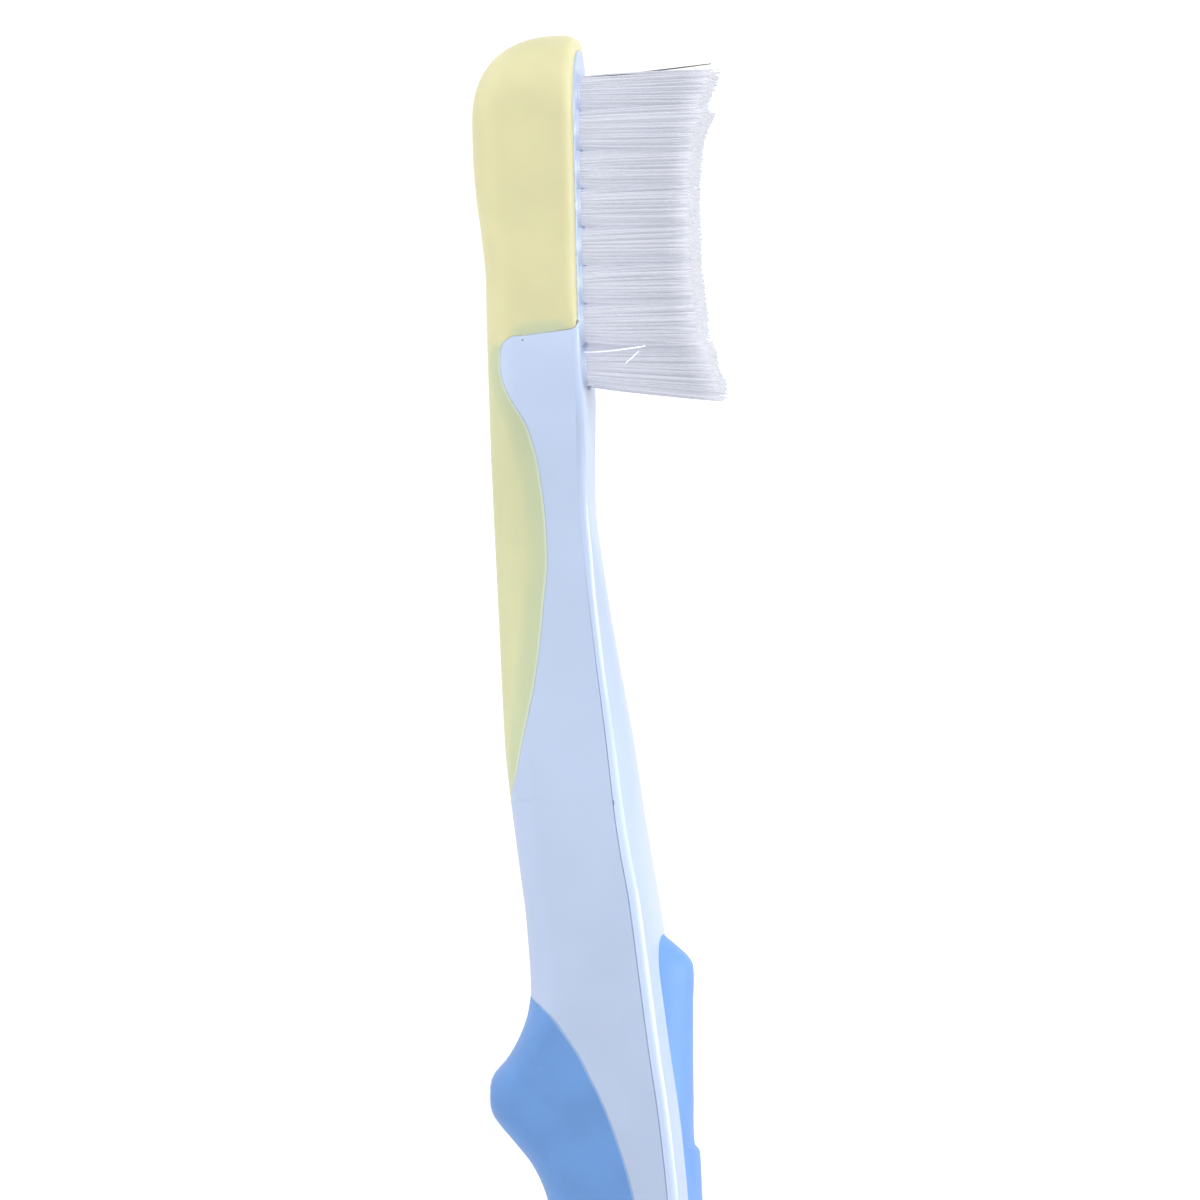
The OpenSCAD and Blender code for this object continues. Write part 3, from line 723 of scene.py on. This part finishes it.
def wrapped(name, form, start, end, half_ring, mark_name):
    """A piece from one place to another: a flat grid laid round its rings, with its seam merged."""
    places = stations(form, start, end)
    rings = []
    for at in places:
        half = half_ring(form, at)
        rings.append(half + [(-y, z, mark) for y, z, mark in reversed(half[1:-1])])
    long, round_steps = len(places) - 1, len(rings[0])
    bm = bmesh.new()
    marks = bm.verts.layers.float.new(mark_name)
    bmesh.ops.create_grid(bm, x_segments=long, y_segments=round_steps, size=1)
    for vert in bm.verts:
        i = round((vert.co.x + 1) / 2 * long)
        j = round((vert.co.y + 1) / 2 * round_steps) % round_steps
        at = places[i]
        y, z, vert[marks] = rings[i][j]
        if abs(at - form.sizes.cushion_length) < SEAM_FADE:
            y = math.copysign(max(0.0, abs(y) - form.seam_groove(at, z)), y)
            at += form.seam_bend(at, z)
        vert.co = (at - form.total / 2, y, max(0.0, z))
    bmesh.ops.remove_doubles(bm, verts=bm.verts, dist=MERGE)
    bmesh.ops.dissolve_degenerate(bm, edges=bm.edges, dist=TINY)
    bmesh.ops.recalc_face_normals(bm, faces=bm.faces)
    smoothed(bm)
    return new_object(name, bm)


def painted(piece, material):
    """Gives a piece one material, in place of any that it has."""
    piece.data.materials.clear()
    piece.data.materials.append(material)
    return piece


def dressed(piece, material, *nodes):
    """Gives a piece its material and its body, and hides the solids that it stands for."""
    painted(piece, material)
    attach(piece, BODY)
    if nodes:
        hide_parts(*nodes)
        slot_of(nodes[0])
    return piece


def slot_of(node):
    return next(sub["material_slot"] for sub in frame["record"]["subparts"] if sub["node"] == node)


# Shaders
def maths(operation, swapped=False):
    """A method that adds a Math node for a sum or comparison of two values."""

    def method(self, other):
        first, second = (other, self) if swapped else (self, other)
        return self.paint.node("ShaderNodeMath", {"operation": operation}, {0: first, 1: second})

    return method


class Value:
    """A shader socket that can be used in sums."""

    def __init__(self, paint, socket):
        self.paint = paint
        self.socket = socket

    __add__ = __radd__ = maths("ADD")
    __sub__ = maths("SUBTRACT")
    __rsub__ = maths("SUBTRACT", swapped=True)
    __mul__ = __rmul__ = maths("MULTIPLY")
    __lt__ = maths("LESS_THAN")
    __gt__ = maths("GREATER_THAN")


class Paint:
    """A procedural material in the making."""

    def __init__(self, name):
        self.material = bpy.data.materials.new(name)
        self.material.use_nodes = True
        self.tree = self.material.node_tree
        self.tree.nodes.clear()
        self.place = self.node("ShaderNodeTexCoord", {}, {}, "Object")

    def node(self, kind, settings, values, output=0):
        """Adds a node, sets its settings, then its sockets, and gives one of its outputs if it has any."""
        made = self.tree.nodes.new(kind)
        for name, value in settings.items():
            if name == "stops":
                self.set_stops(made.color_ramp, value)
            else:
                setattr(made, name, value)
        for name, value in values.items():
            if isinstance(value, Value):
                self.tree.links.new(value.socket, made.inputs[name])
            else:
                made.inputs[name].default_value = value
        return Value(self, made.outputs[output]) if made.outputs else None

    def set_stops(self, ramp, stops):
        while len(ramp.elements) < len(stops):
            ramp.elements.new(1.0)
        for element, (position, value) in zip(ramp.elements, stops):
            element.position = position
            element.color = (value, value, value, 1)

    def mapped(self, scale, shift=(0, 0, 0)):
        """The place, scaled and then moved."""
        values = {"Vector": self.place, "Scale": scale, "Location": shift}
        return self.node("ShaderNodeMapping", {}, values, "Vector")

    def noise(self, size, detail=2.0, roughness=0.5, vector=None):
        """Noise from 0 to 1 whose features have about that size."""
        values = {"Scale": 1 / size, "Detail": detail, "Roughness": roughness}
        return self.node("ShaderNodeTexNoise", {}, {"Vector": vector or self.place, **values})

    def ramp(self, value, stops):
        """Greys for a value, from a table of values and shades."""
        return self.node("ShaderNodeValToRGB", {"stops": stops}, {"Fac": value}, "Color")

    def span(self, value, low, high, start=0.0, end=1.0):
        """Maps low to high onto start to end, smoothly."""
        values = {"Value": value, "From Min": low, "From Max": high, "To Min": start, "To Max": end}
        return self.node("ShaderNodeMapRange", {"interpolation_type": "SMOOTHSTEP"}, values)

    def blend(self, share, first, second, how="MIX"):
        """Mixes two colours, by the sockets that a Mix node has for them."""
        settings = {"data_type": "RGBA", "blend_type": how}
        first, second = (c if isinstance(c, Value) else (*c, 1) for c in (first, second))
        return self.node("ShaderNodeMix", settings, {0: share, 6: first, 7: second}, 2)

    def clouded(self, cloud, base, dark, light):
        """A colour that noise makes a little darker and lighter."""
        return self.blend(self.span(cloud, *CLOUD_RANGE), shade(base, dark), shade(base, light))

    def inside(self, centre, reach):
        """1 inside an oval at a place, given in millimetres."""
        moved = self.mapped([1 / (r * MM) for r in reach], [-c / r for c, r in zip(centre, reach)])
        return self.node("ShaderNodeVectorMath", {"operation": "LENGTH"}, {"Vector": moved}, "Value") < 1

    def mark(self, name):
        return self.node("ShaderNodeAttribute", {"attribute_name": name}, {}, "Fac")

    def bump(self, height, distance, strength=1.0, normal=None):
        values = {"Strength": strength, "Distance": distance, "Height": height}
        if normal:
            values["Normal"] = normal
        return self.node("ShaderNodeBump", {}, values, "Normal")

    def surface(self, **values):
        """Ends the material with one principled surface. A space in a socket's name is written _."""
        sockets = {name.replace("_", " "): value for name, value in values.items()}
        shader = self.node("ShaderNodeBsdfPrincipled", {}, sockets)
        self.node("ShaderNodeOutputMaterial", {}, {"Surface": shader})
        return self.material


def shade(rgb, factor):
    return tuple(clamp(c * factor) for c in rgb)


# Colours of the materials' finest details, the painted glow and painted glints of the nylon, and the range
# of noise that clouds a colour
CLOUD_RANGE = (0.3, 0.7)
CUSHION_FRINGE = (0.66, 0.78, 0.7)
GRIP_FRINGE = (0.38, 0.5, 0.75)
BLOOM = (0.8, 0.85, 0.95)
SHEEN = (0.75, 0.8, 1.0, 1.0)
PAINTED_THROUGH_GLOW = (0.84, 0.87, 1.0)
PAINTED_GLINT_TINT = (0.9, 0.9, 0.95)
PAINTED_GLINT_GLOW = (0.85, 0.88, 1)
BLACK = (0, 0, 0)
WHITE = (1, 1, 1, 1)

# Painted light and shade on the plastic's sides and front at places along the brush, which run from 0 near
# the tip to 1 near the far end
SIDE_LIGHT_AND_SHADE = ((0.18, 1.0), (0.21, 0.9), (0.32, 0.885), (0.39, 0.85))
FRONT_LIGHT_AND_SHADE = (
    (0, 0.84), (0.03, 0.98), (0.165, 0.98), (0.185, 0.84), (0.22, 0.88), (0.3, 0.93), (0.39, 0.97),
)
PLACES_PER_METRE = 7
SPECK_GAP = 3.4 * MM
SPECK_RARITY = 0.86
SPECK_SIZE = 0.022
# Middle and half sizes, in millimetres, of a speck on the head's side and a nick in the parting groove
MARKS = (((-51.25, -5.5, 3.75), (0.09, 1, 0.07)), ((-18.2, -4, 9.45), (0.28, 2, 0.05)))


def hard_plastic(colours):
    """Moulded polypropylene: satin sides, a polished front, faint flow lines and a few specks, with painted
    light and shade along the brush and a painted shadow in the parting groove.
    """
    paint = Paint("Hard plastic")
    base = colours.hard
    polish = paint.mark("polish")
    along = paint.node("ShaderNodeSeparateXYZ", {}, {"Vector": paint.place}, "X") * PLACES_PER_METRE + 0.5
    cloud = paint.noise(7 * MM, 2)
    flow = paint.noise(1.2 * MM, 3, 0.6, paint.mapped((0.08, 1, 1)))
    grain = paint.noise(0.09 * MM, 3, 0.6)
    cells = {"Vector": paint.place, "Scale": 1 / SPECK_GAP}
    near = paint.node("ShaderNodeTexVoronoi", {"feature": "F1"}, cells, "Distance")
    rare = paint.node("ShaderNodeTexVoronoi", {"feature": "F1"}, cells, "Color")
    speck = paint.node("ShaderNodeSeparateColor", {}, {"Color": rare}, "Red") > SPECK_RARITY
    # Painted light and shade along the brush, with one ramp for the sides and one for the polished front
    shades = paint.blend(polish, paint.ramp(along, SIDE_LIGHT_AND_SHADE), paint.ramp(along, FRONT_LIGHT_AND_SHADE))
    # Painted shadow in the parting groove and on the body's lip under the soft pieces
    groove = paint.span(polish, 0.35, GROOVE_MARK) * paint.span(polish, GROOVE_MARK, 0.8, 1, 0)
    tint = paint.blend(1.0, paint.clouded(cloud, base, 0.975, 1.02), shades, "MULTIPLY")
    tint = paint.blend(groove, tint, shade(base, 0.76))
    tint = paint.blend(speck * (near < SPECK_SIZE), tint, shade(base, 0.55))
    for centre, reach in MARKS:
        tint = paint.blend(paint.inside(centre, reach), tint, shade(base, 0.4))
    rough = 0.46 - 0.15 * polish + 0.06 * (flow - 0.5) + 0.05 * (grain - 0.5)
    relief = paint.bump(flow, 0.02 * MM, 0.35, paint.bump(grain, 0.006 * MM, 0.5))
    return paint.surface(
        Base_Color=tint, Roughness=rough, Normal=relief, IOR=1.49, Subsurface_Weight=0.12,
        Subsurface_Radius=(1.0, 1.0, 1.2), Subsurface_Scale=0.6 * MM,
    )


def cushion_rubber(colours):
    """Pale yellow elastomer, greener and lighter where it thins out over the blue plastic."""
    paint = Paint("Cushion rubber")
    mark = paint.mark("thin")
    cloud = paint.noise(5 * MM, 2)
    grain = paint.noise(0.12 * MM, 3, 0.6)
    tint = paint.clouded(cloud, colours.cushion, 0.97, 1.03)
    tint = paint.blend(paint.span(mark, 0.05, 0.9, 0, 0.9), tint, colours.cushion_thin)
    tint = paint.blend(paint.span(mark, 0.98, 1.0, 0, 0.6), tint, CUSHION_FRINGE)
    rough = 0.52 + 0.12 * (cloud - 0.5) + 0.1 * (grain - 0.5)
    relief = paint.bump(cloud, 0.15 * MM, 0.3, paint.bump(grain, 0.008 * MM, 0.5))
    return paint.surface(
        Base_Color=tint, Roughness=rough, Normal=relief, IOR=1.47, Sheen_Weight=0.12, Sheen_Roughness=0.4,
        Subsurface_Weight=0.25, Subsurface_Radius=(1.0, 0.9, 0.5), Subsurface_Scale=0.8 * MM,
    )


def grip_rubber(name, base):
    """Blue elastomer: matt, fine grained, with faint pale patches and a soft sheen at grazing angles."""
    paint = Paint(name)
    mark = paint.mark("thin")
    cloud = paint.noise(4 * MM, 3)
    grain = paint.noise(0.14 * MM, 4, 0.65)
    bloom = paint.noise(0.6 * MM, 4, 0.7)
    tint = paint.clouded(cloud, base, 0.95, 1.05)
    tint = paint.blend(paint.span(mark, 0.98, 1.0, 0, 0.6), tint, GRIP_FRINGE)
    tint = paint.blend(paint.span(bloom, 0.62, 0.8, 0, 0.12), tint, BLOOM)
    rough = 0.6 + 0.1 * (cloud - 0.5) + 0.15 * (grain - 0.5)
    relief = paint.bump(cloud, 0.1 * MM, 0.3, paint.bump(grain, 0.012 * MM, 0.6))
    return paint.surface(
        Base_Color=tint, Roughness=rough, Normal=relief, IOR=1.47, Sheen_Weight=0.2, Sheen_Roughness=0.35,
        Sheen_Tint=SHEEN, Subsurface_Weight=0.15, Subsurface_Radius=(0.6, 0.8, 1.0),
        Subsurface_Scale=0.5 * MM,
    )


def nylon(colours):
    """Clear nylon filaments: each one's tone differs a little, painted emission stands in for light passing
    through the nylon and is strongest at the roots, and cut ends are darker.
    """
    paint = Paint("Nylon")
    base = colours.nylon
    own = paint.mark("own")
    high = paint.mark("high")
    streak = paint.noise(0.5 * MM, 2, 0.5, paint.mapped((1, 1, 0.1)))
    tint = paint.blend(own, shade(base, 0.93), shade(base, 1.04))
    tint = paint.blend(paint.span(high, 0.4, 0.95), tint, base)
    tint = paint.blend(paint.span(high, 0.985, 1.0), tint, shade(base, 0.72))
    # Emission is painted light: a glow that stands in for light passing through the clear nylon, a little
    # weaker towards the tips
    painted_glow = paint.blend(paint.span(high, 0.15, 1.0, 0, 0.2), PAINTED_THROUGH_GLOW, BLACK)
    # Loose filaments: a dark one, and bright ones with a painted glint in their colour and emission
    tones = ((own < 0, shade(base, 0.3), BLACK), (own > 1, PAINTED_GLINT_TINT, PAINTED_GLINT_GLOW))
    for chosen, its_tint, its_painted_glow in tones:
        tint = paint.blend(chosen, tint, its_tint)
        painted_glow = paint.blend(chosen, painted_glow, its_painted_glow)
    return paint.surface(
        Base_Color=tint, Roughness=0.45 + 0.2 * streak, IOR=1.53, Specular_IOR_Level=0.25,
        Subsurface_Weight=0.85, Subsurface_Radius=(1.0, 1.0, 1.0), Subsurface_Scale=0.3 * MM,
        Emission_Color=painted_glow, Emission_Strength=0.34,
    )


def anchor_metal(colours):
    """Stamped strip, drawn along its length."""
    paint = Paint("Anchor metal")
    drawn = paint.noise(0.05 * MM, 3, 0.6, paint.mapped((0.1, 1, 1)))
    tint = paint.blend(drawn, shade(colours.anchor, 0.8), shade(colours.anchor, 1.1))
    relief = paint.bump(drawn, 0.003 * MM)
    return paint.surface(Base_Color=tint, Roughness=0.25 + 0.2 * drawn, Metallic=1.0, Normal=relief)


def table_top(colours):
    """Pale matt board, bright enough to stay clear of shadows."""
    paint = Paint("Table top")
    cloud = paint.noise(60 * MM, 3)
    tint = paint.clouded(cloud, colours.floor, 0.99, 1)
    rough = 0.6 + 0.1 * (cloud - 0.5)
    return paint.surface(Base_Color=tint, Roughness=rough, Emission_Color=WHITE, Emission_Strength=0.9)


# Tufts
TUFTS_IN_ROW = (3, 4, 4, 4, 4, 4, 4, 3)
# Place along the brush in mm, and share of the dish by which the bristles stand higher there
TRIM_SHARES = (
    (2.7, 1.36), (4.9, 0.75), (5.5, 0.62), (5.75, 0.95), (7, 0.5), (8.5, 0.25), (12.3, 0), (16.3, 0.02),
    (19.4, 0.24), (21.9, 0.36), (22.3, 0.72), (24.2, 1), (25.4, 1.38),
)
HEEL_LEAN = 1.0 * MM
WANDER = 0.14 * MM
STRAY_FACTOR = 3.2
SPREAD_POWER = 0.37
STRAY_POWER = 1.3
# Tones of loose filaments: a dark one, and bright ones that carry a painted glint
DARK = -1
PAINTED_GLINT = 2
# Single loose filaments, by tuft: foot as shares of the hole, lean in mm, share of the height, and tone,
# which is dark or bright with a painted glint
LOOSE = {
    0: ((-1, 0), (-0.74, 0), 1, DARK),
    27: ((-0.68, -1), (-0.8, -1.3), 0.52, PAINTED_GLINT),
    28: ((0.95, -1), (-2.8, -3.6), 0.47, PAINTED_GLINT),
}
ROOT_DEPTH = 1.0 * MM
HOLE_MARGIN = 0.03 * MM
HOLE_OVERLAP = 1.0 * MM
FILAMENT_SIDES = 5
FILAMENT_CUTS = 6
RISE_POWER = 1.5
TIP_SHARE = 0.999
TIP_WIDTH = 0.75
GOLDEN_ANGLE = math.pi * (3 - math.sqrt(5))
# Rows of distance from the bore in mm, share of the collar's height, and depth under the plate in mm
COLLAR_OUTLINE = (
    (0, 0, 0.6), (0, 0.75, 0), (0.03, 0.93, 0), (0.09, 1, 0), (0.16, 0.85, 0), (0.21, 0.4, 0), (0.3, 0, 0),
    (0.42, 0, 0.1), (0.42, 0, 0.6),
)
COLLAR_OVERLAP = 0.02 * MM
COLLAR_STEPS = 28
HOLE_SIDES = 32


def tuft_spots(form, bristles):
    """Row, place in the row and the middle of each tuft's hole."""
    for row, count in enumerate(TUFTS_IN_ROW):
        for n in range(count):
            across = n - (count - 1) / 2
            at = bristles.first_row + row * bristles.row_pitch
            at += bristles.stagger * (1 - abs(across))
            yield row, n, Vector((at - form.total / 2, across * bristles.tuft_pitch, form.plate_height))


def collars(form, bristles):
    """The plastic that stands up round each tuft's hole, turned on a lathe."""
    bore = bristles.hole_width / 2 - COLLAR_OVERLAP
    bm = bmesh.new()
    corners = []
    for out, rise, depth in COLLAR_OUTLINE:
        corners.append(bm.verts.new((bore + out * MM, 0, rise * bristles.collar_height - depth * MM)))
    edges = [bm.edges.new(pair) for pair in zip(corners, corners[1:] + corners[:1])]
    bmesh.ops.spin(
        bm, geom=corners + edges, cent=(0, 0, 0), axis=(0, 0, 1), angle=math.tau, steps=COLLAR_STEPS,
        use_merge=True,
    )
    bmesh.ops.remove_doubles(bm, verts=bm.verts, dist=MERGE)
    bmesh.ops.scale(bm, verts=bm.verts, vec=(bristles.stretch, 1, 1))
    bmesh.ops.recalc_face_normals(bm, faces=bm.faces)
    spots = [spot for _, _, spot in tuft_spots(form, bristles)]
    for verts, spot in zip(copies(bm, len(spots)), spots):
        bmesh.ops.translate(bm, verts=verts, vec=spot)
    polish = bm.verts.layers.float.new("polish")
    for vert in bm.verts:
        vert[polish] = 1.0
    smoothed(bm)
    return new_object("tuft_collars", bm)


def hole_cutters(form, bristles):
    """Oval rods where the tufts' holes are, which stand out over the plate."""
    radius = bristles.hole_width / 2
    bm = bmesh.new()
    for _, _, spot in tuft_spots(form, bristles):
        centre = spot - Vector((0, 0, bristles.hole_depth / 2 - HOLE_OVERLAP))
        bmesh.ops.create_cone(
            bm, cap_ends=True, cap_tris=False, segments=HOLE_SIDES, radius1=radius, radius2=radius,
            depth=bristles.hole_depth + 2 * HOLE_OVERLAP,
            matrix=Matrix.Translation(centre) @ Matrix.Diagonal((bristles.stretch, 1, 1, 1)),
        )
    return new_object("hole_cutters", bm)


def drill(piece, cutters):
    """Takes the cutters' shape out of a piece, whose mesh stays plain."""
    cut = piece.modifiers.new("Holes", "BOOLEAN")
    cut.operation = "DIFFERENCE"
    cut.solver = "EXACT"
    cut.object = cutters
    done = bpy.data.meshes.new_from_object(piece.evaluated_get(bpy.context.evaluated_depsgraph_get()))
    piece.modifiers.clear()
    piece.data = done
    bpy.data.objects.remove(cutters)
    bm = bmesh.new()
    bm.from_mesh(done)
    smoothed(bm)
    bm.to_mesh(done)
    bm.free()


def tuft(name, form, bristles, row, spot, seed):
    """A bundle of filaments that opens out from its hole, each one bent a little its own way."""
    dice = random.Random(seed)
    trim = smooth_curve([(place * MM, share) for place, share in TRIM_SHARES])
    lean = HEEL_LEAN if row == len(TUFTS_IN_ROW) - 1 else 0.0
    bm = bmesh.new()
    own = bm.verts.layers.float.new("own")
    high = bm.verts.layers.float.new("high")
    radius = bristles.filament / 2
    # One filament, straight and of height 1, whose rings are moved to their places in each copy
    bmesh.ops.create_cone(
        bm, cap_ends=True, cap_tris=False, segments=FILAMENT_SIDES, radius1=radius, radius2=radius, depth=1,
        matrix=Matrix.Translation((0, 0, 0.5)),
    )
    upright = [edge for edge in bm.edges if abs(edge.verts[0].co.z - edge.verts[1].co.z) > 0.5]
    bmesh.ops.subdivide_edges(bm, edges=upright, cuts=FILAMENT_CUTS, use_grid_fill=True)
    turn = dice.uniform(0, math.tau)
    root = bristles.hole_width / 2 - HOLE_MARGIN
    for n, verts in enumerate(copies(bm, bristles.filaments)):
        out = root * math.sqrt((n + 0.5) / bristles.filaments)
        angle = turn + n * GOLDEN_ANGLE
        foot = Vector((out * math.cos(angle) * bristles.stretch, out * math.sin(angle), 0))
        strays = dice.random() < bristles.stray
        power = STRAY_POWER if strays else SPREAD_POWER
        wander = WANDER * (STRAY_FACTOR if strays else 1.0)
        spread = foot * (bristles.flare - 1) + Vector((dice.gauss(0, wander), dice.gauss(0, wander), 0))
        outward = lean * (0.5 + 0.5 * foot.x / (root * bristles.stretch))
        tone = dice.random()
        loose = n == 0 and seed in LOOSE
        if loose:
            (x, y), lean_out, reach, tone = LOOSE[seed]
            power = STRAY_POWER
            foot = Vector((x * root * bristles.stretch, y * root, 0))
            spread = Vector((*lean_out, 0)) * MM
        place = spot.x + form.total / 2 + foot.x + spread.x + outward
        tall = bristles.height + bristles.dish * trim(place) + dice.gauss(0, bristles.jitter)
        if loose:
            tall *= reach
        for vert in verts:
            share = vert.co.z**RISE_POWER
            z = mix(-ROOT_DEPTH, tall, share)
            rise = clamp((z - bristles.collar_height) / (tall - bristles.collar_height))
            narrow = TIP_WIDTH if share > TIP_SHARE else 1.0
            vert[own] = tone
            vert[high] = share
            across = Vector((vert.co.x * narrow + outward * rise, vert.co.y * narrow, z))
            vert.co = spot + foot + across + spread * rise**power
    for face in bm.faces:
        face.smooth = len(face.verts) == 4
    return new_object(name, bm)


# Operators
def settings():
    """The brush's form, and its groups of bristle sizes and colours."""
    scene = bpy.context.scene
    return BrushForm(scene.brush_sizes), scene.brush_bristles, scene.brush_colours


# Camera of the photograph: it looks across the brush from the side, with the head up in the picture.
# The picture is 1200 pixels square.
PIXELS = 1200
PIXELS_PER_MM = 14
TIP_PIXEL = (471.7, 38)
CAMERA_ELEVATION = math.radians(6)
CAMERA_ROLL = math.radians(1.36)
LENS = 500
SENSOR = 36
NEAREST = 0.05
FURTHEST = 20
FLOOR_SIZE = 8.0
FLOOR_CELLS = 8
# Each light's name, place, width and height, and power
LIGHTS = (
    ("Overhead", (-0.1, 0.02, 0.9), (0.6, 0.3), 7),
    ("Front", (-0.75, -0.75, 0.4), (1.0, 0.6), 5),
    ("Back", (-0.05, 1.3, 0.3), (2.4, 0.6), 3),
)
LIT_SPOT = (-0.03, 0, 0)
SKY_STRENGTH = 0.4


def photo_camera(form):
    """A long lens that looks at the brush's side from a little above, with the head up in its picture."""
    look = Vector((0, math.cos(CAMERA_ELEVATION), -math.sin(CAMERA_ELEVATION)))
    upward = Vector((0, math.sin(CAMERA_ELEVATION), math.cos(CAMERA_ELEVATION)))
    headward = Vector((-1, 0, 0))
    right = upward * math.cos(CAMERA_ROLL) - headward * math.sin(CAMERA_ROLL)
    up = headward * math.cos(CAMERA_ROLL) + upward * math.sin(CAMERA_ROLL)
    tip = Vector((-form.total / 2, 0, 0))
    across = (PIXELS / 2 - TIP_PIXEL[0]) / PIXELS_PER_MM * MM
    down = (PIXELS / 2 - TIP_PIXEL[1]) / PIXELS_PER_MM * MM
    centre = tip + right * across - up * down
    distance = PIXELS / PIXELS_PER_MM * MM * LENS / SENSOR
    data = bpy.data.cameras.new("Camera")
    data.lens = LENS
    data.sensor_width = SENSOR
    data.clip_start = NEAREST
    data.clip_end = FURTHEST
    camera = linked("Camera", data)
    turn = Matrix((right, up, -look)).transposed().to_quaternion()
    camera.matrix_world = Matrix.LocRotScale(centre - look * distance, turn, (1, 1, 1))
    bpy.context.scene.camera = camera


def soft_light(name, place, size, power):
    """A large lamp that shines on the head."""
    data = bpy.data.lights.new(name, "AREA")
    data.shape = "RECTANGLE"
    data.size, data.size_y = size
    data.energy = power
    lamp = linked(name, data)
    lamp.location = place
    lamp.rotation_mode = "QUATERNION"
    lamp.rotation_quaternion = (Vector(LIT_SPOT) - Vector(place)).to_track_quat("-Z", "Y")


class BRUSH_OT_stage(bpy.types.Operator):
    """Camera, soft studio lights and a pale table"""

    bl_idname = "brush.stage"
    bl_label = "Stage"

    def execute(self, context):
        form, _, colours = settings()
        photo_camera(form)
        bm = bmesh.new()
        bmesh.ops.create_grid(bm, x_segments=FLOOR_CELLS, y_segments=FLOOR_CELLS, size=FLOOR_SIZE / 2)
        floor = painted(new_object("table_top", bm), table_top(colours))
        floor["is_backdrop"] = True
        for light in LIGHTS:
            soft_light(*light)
        world = bpy.data.worlds.new("Studio")
        world.use_nodes = True
        sky = world.node_tree.nodes["Background"].inputs
        sky["Color"].default_value = WHITE
        sky["Strength"].default_value = SKY_STRENGTH
        context.scene.world = world
        context.scene.view_settings.view_transform = "Standard"
        return {"FINISHED"}


class BRUSH_OT_body(bpy.types.Operator):
    """Hard plastic plate, neck and handle in one moulding"""

    bl_idname = "brush.body"
    bl_label = "Hard Body"

    def execute(self, context):
        form, bristles, colours = settings()
        plastic = hard_plastic(colours)
        body = wrapped("hard_body", form, form.sizes.cushion_wall, form.total, body_ring, "polish")
        drill(body, hole_cutters(form, bristles))
        dressed(body, plastic, "body")
        ring = dressed(collars(form, bristles), plastic)
        return {"FINISHED"}


class BRUSH_OT_cushion(bpy.types.Operator):
    """Soft cushion round the head, with its tongue down the neck"""

    bl_idname = "brush.cushion"
    bl_label = "Head Cushion"

    def execute(self, context):
        form, _, colours = settings()
        cushion = wrapped("soft_cushion", form, 0, form.tongue_end, cover_ring, "thin")
        dressed(cushion, cushion_rubber(colours), "head_cushion")
        return {"FINISHED"}


class BRUSH_OT_grips(bpy.types.Operator):
    """Soft back grip with its finger stop, and the thumb grip"""

    bl_idname = "brush.grips"
    bl_label = "Grips"

    def execute(self, context):
        form, _, colours = settings()
        back = wrapped("soft_back_grip", form, form.stop_at, form.back_end, cover_ring, "thin")
        dressed(back, grip_rubber("Back grip rubber", colours.back_grip), "back_grip")
        thumb = wrapped("soft_thumb_grip", form, form.thumb_at, form.thumb_end, thumb_ring, "thin")
        dressed(thumb, grip_rubber("Thumb grip rubber", colours.thumb_grip), "thumb_grip")
        return {"FINISHED"}


class BRUSH_OT_tufts(bpy.types.Operator):
    """Bristle tufts, each a bundle of filaments"""

    bl_idname = "brush.tufts"
    bl_label = "Tufts"

    def execute(self, context):
        form, bristles, colours = settings()
        material = nylon(colours)
        for seed, (row, n, spot) in enumerate(tuft_spots(form, bristles)):
            label = f"{row + 1}_{n + 1}"
            dressed(tuft(f"bristles_{label}", form, bristles, row, spot, seed), material, f"tuft_{label}")
        return {"FINISHED"}


class BRUSH_OT_anchors(bpy.types.Operator):
    """Metal anchors inside the tuft holes"""

    bl_idname = "brush.anchors"
    bl_label = "Anchors"

    def execute(self, context):
        painted(frame["nodes"]["anchors"], anchor_metal(context.scene.brush_colours))
        return {"FINISHED"}


class BRUSH_PT_panel(bpy.types.Panel):
    """Lists the brush's sizes, colours and pieces"""

    bl_label = "Toothbrush"
    bl_idname = "BRUSH_PT_panel"
    bl_space_type = "VIEW_3D"
    bl_region_type = "UI"
    bl_category = "Toothbrush"

    def draw(self, context):
        layout = self.layout
        for group in GROUPS:
            box = layout.box()
            for name in GROUPS[group].__annotations__:
                box.prop(getattr(context.scene, group), name)
        for operator in OPERATORS:
            layout.operator(operator.bl_idname)


GROUPS = {"brush_sizes": BrushSizes, "brush_bristles": BrushBristles, "brush_colours": BrushColours}
OPERATORS = (
    BRUSH_OT_stage, BRUSH_OT_body, BRUSH_OT_cushion, BRUSH_OT_grips, BRUSH_OT_tufts, BRUSH_OT_anchors,
)
CLASSES = (*GROUPS.values(), *OPERATORS, BRUSH_PT_panel)


def register():
    for cls in CLASSES:
        bpy.utils.register_class(cls)
    for name, group in GROUPS.items():
        setattr(bpy.types.Scene, name, PointerProperty(type=group))


def unregister():
    for name in GROUPS:
        delattr(bpy.types.Scene, name)
    for cls in reversed(CLASSES):
        bpy.utils.unregister_class(cls)


def main():
    register()
    bpy.ops.brush.stage()
    bpy.ops.brush.body()
    bpy.ops.brush.cushion()
    bpy.ops.brush.grips()
    bpy.ops.brush.tufts()
    bpy.ops.brush.anchors()
    boxes = {"cad": CAD_BOX, "visual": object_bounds()}
    {name: [list(corner) for corner in box] for name, box in boxes.items()}


if __name__ == "__main__":
    main()
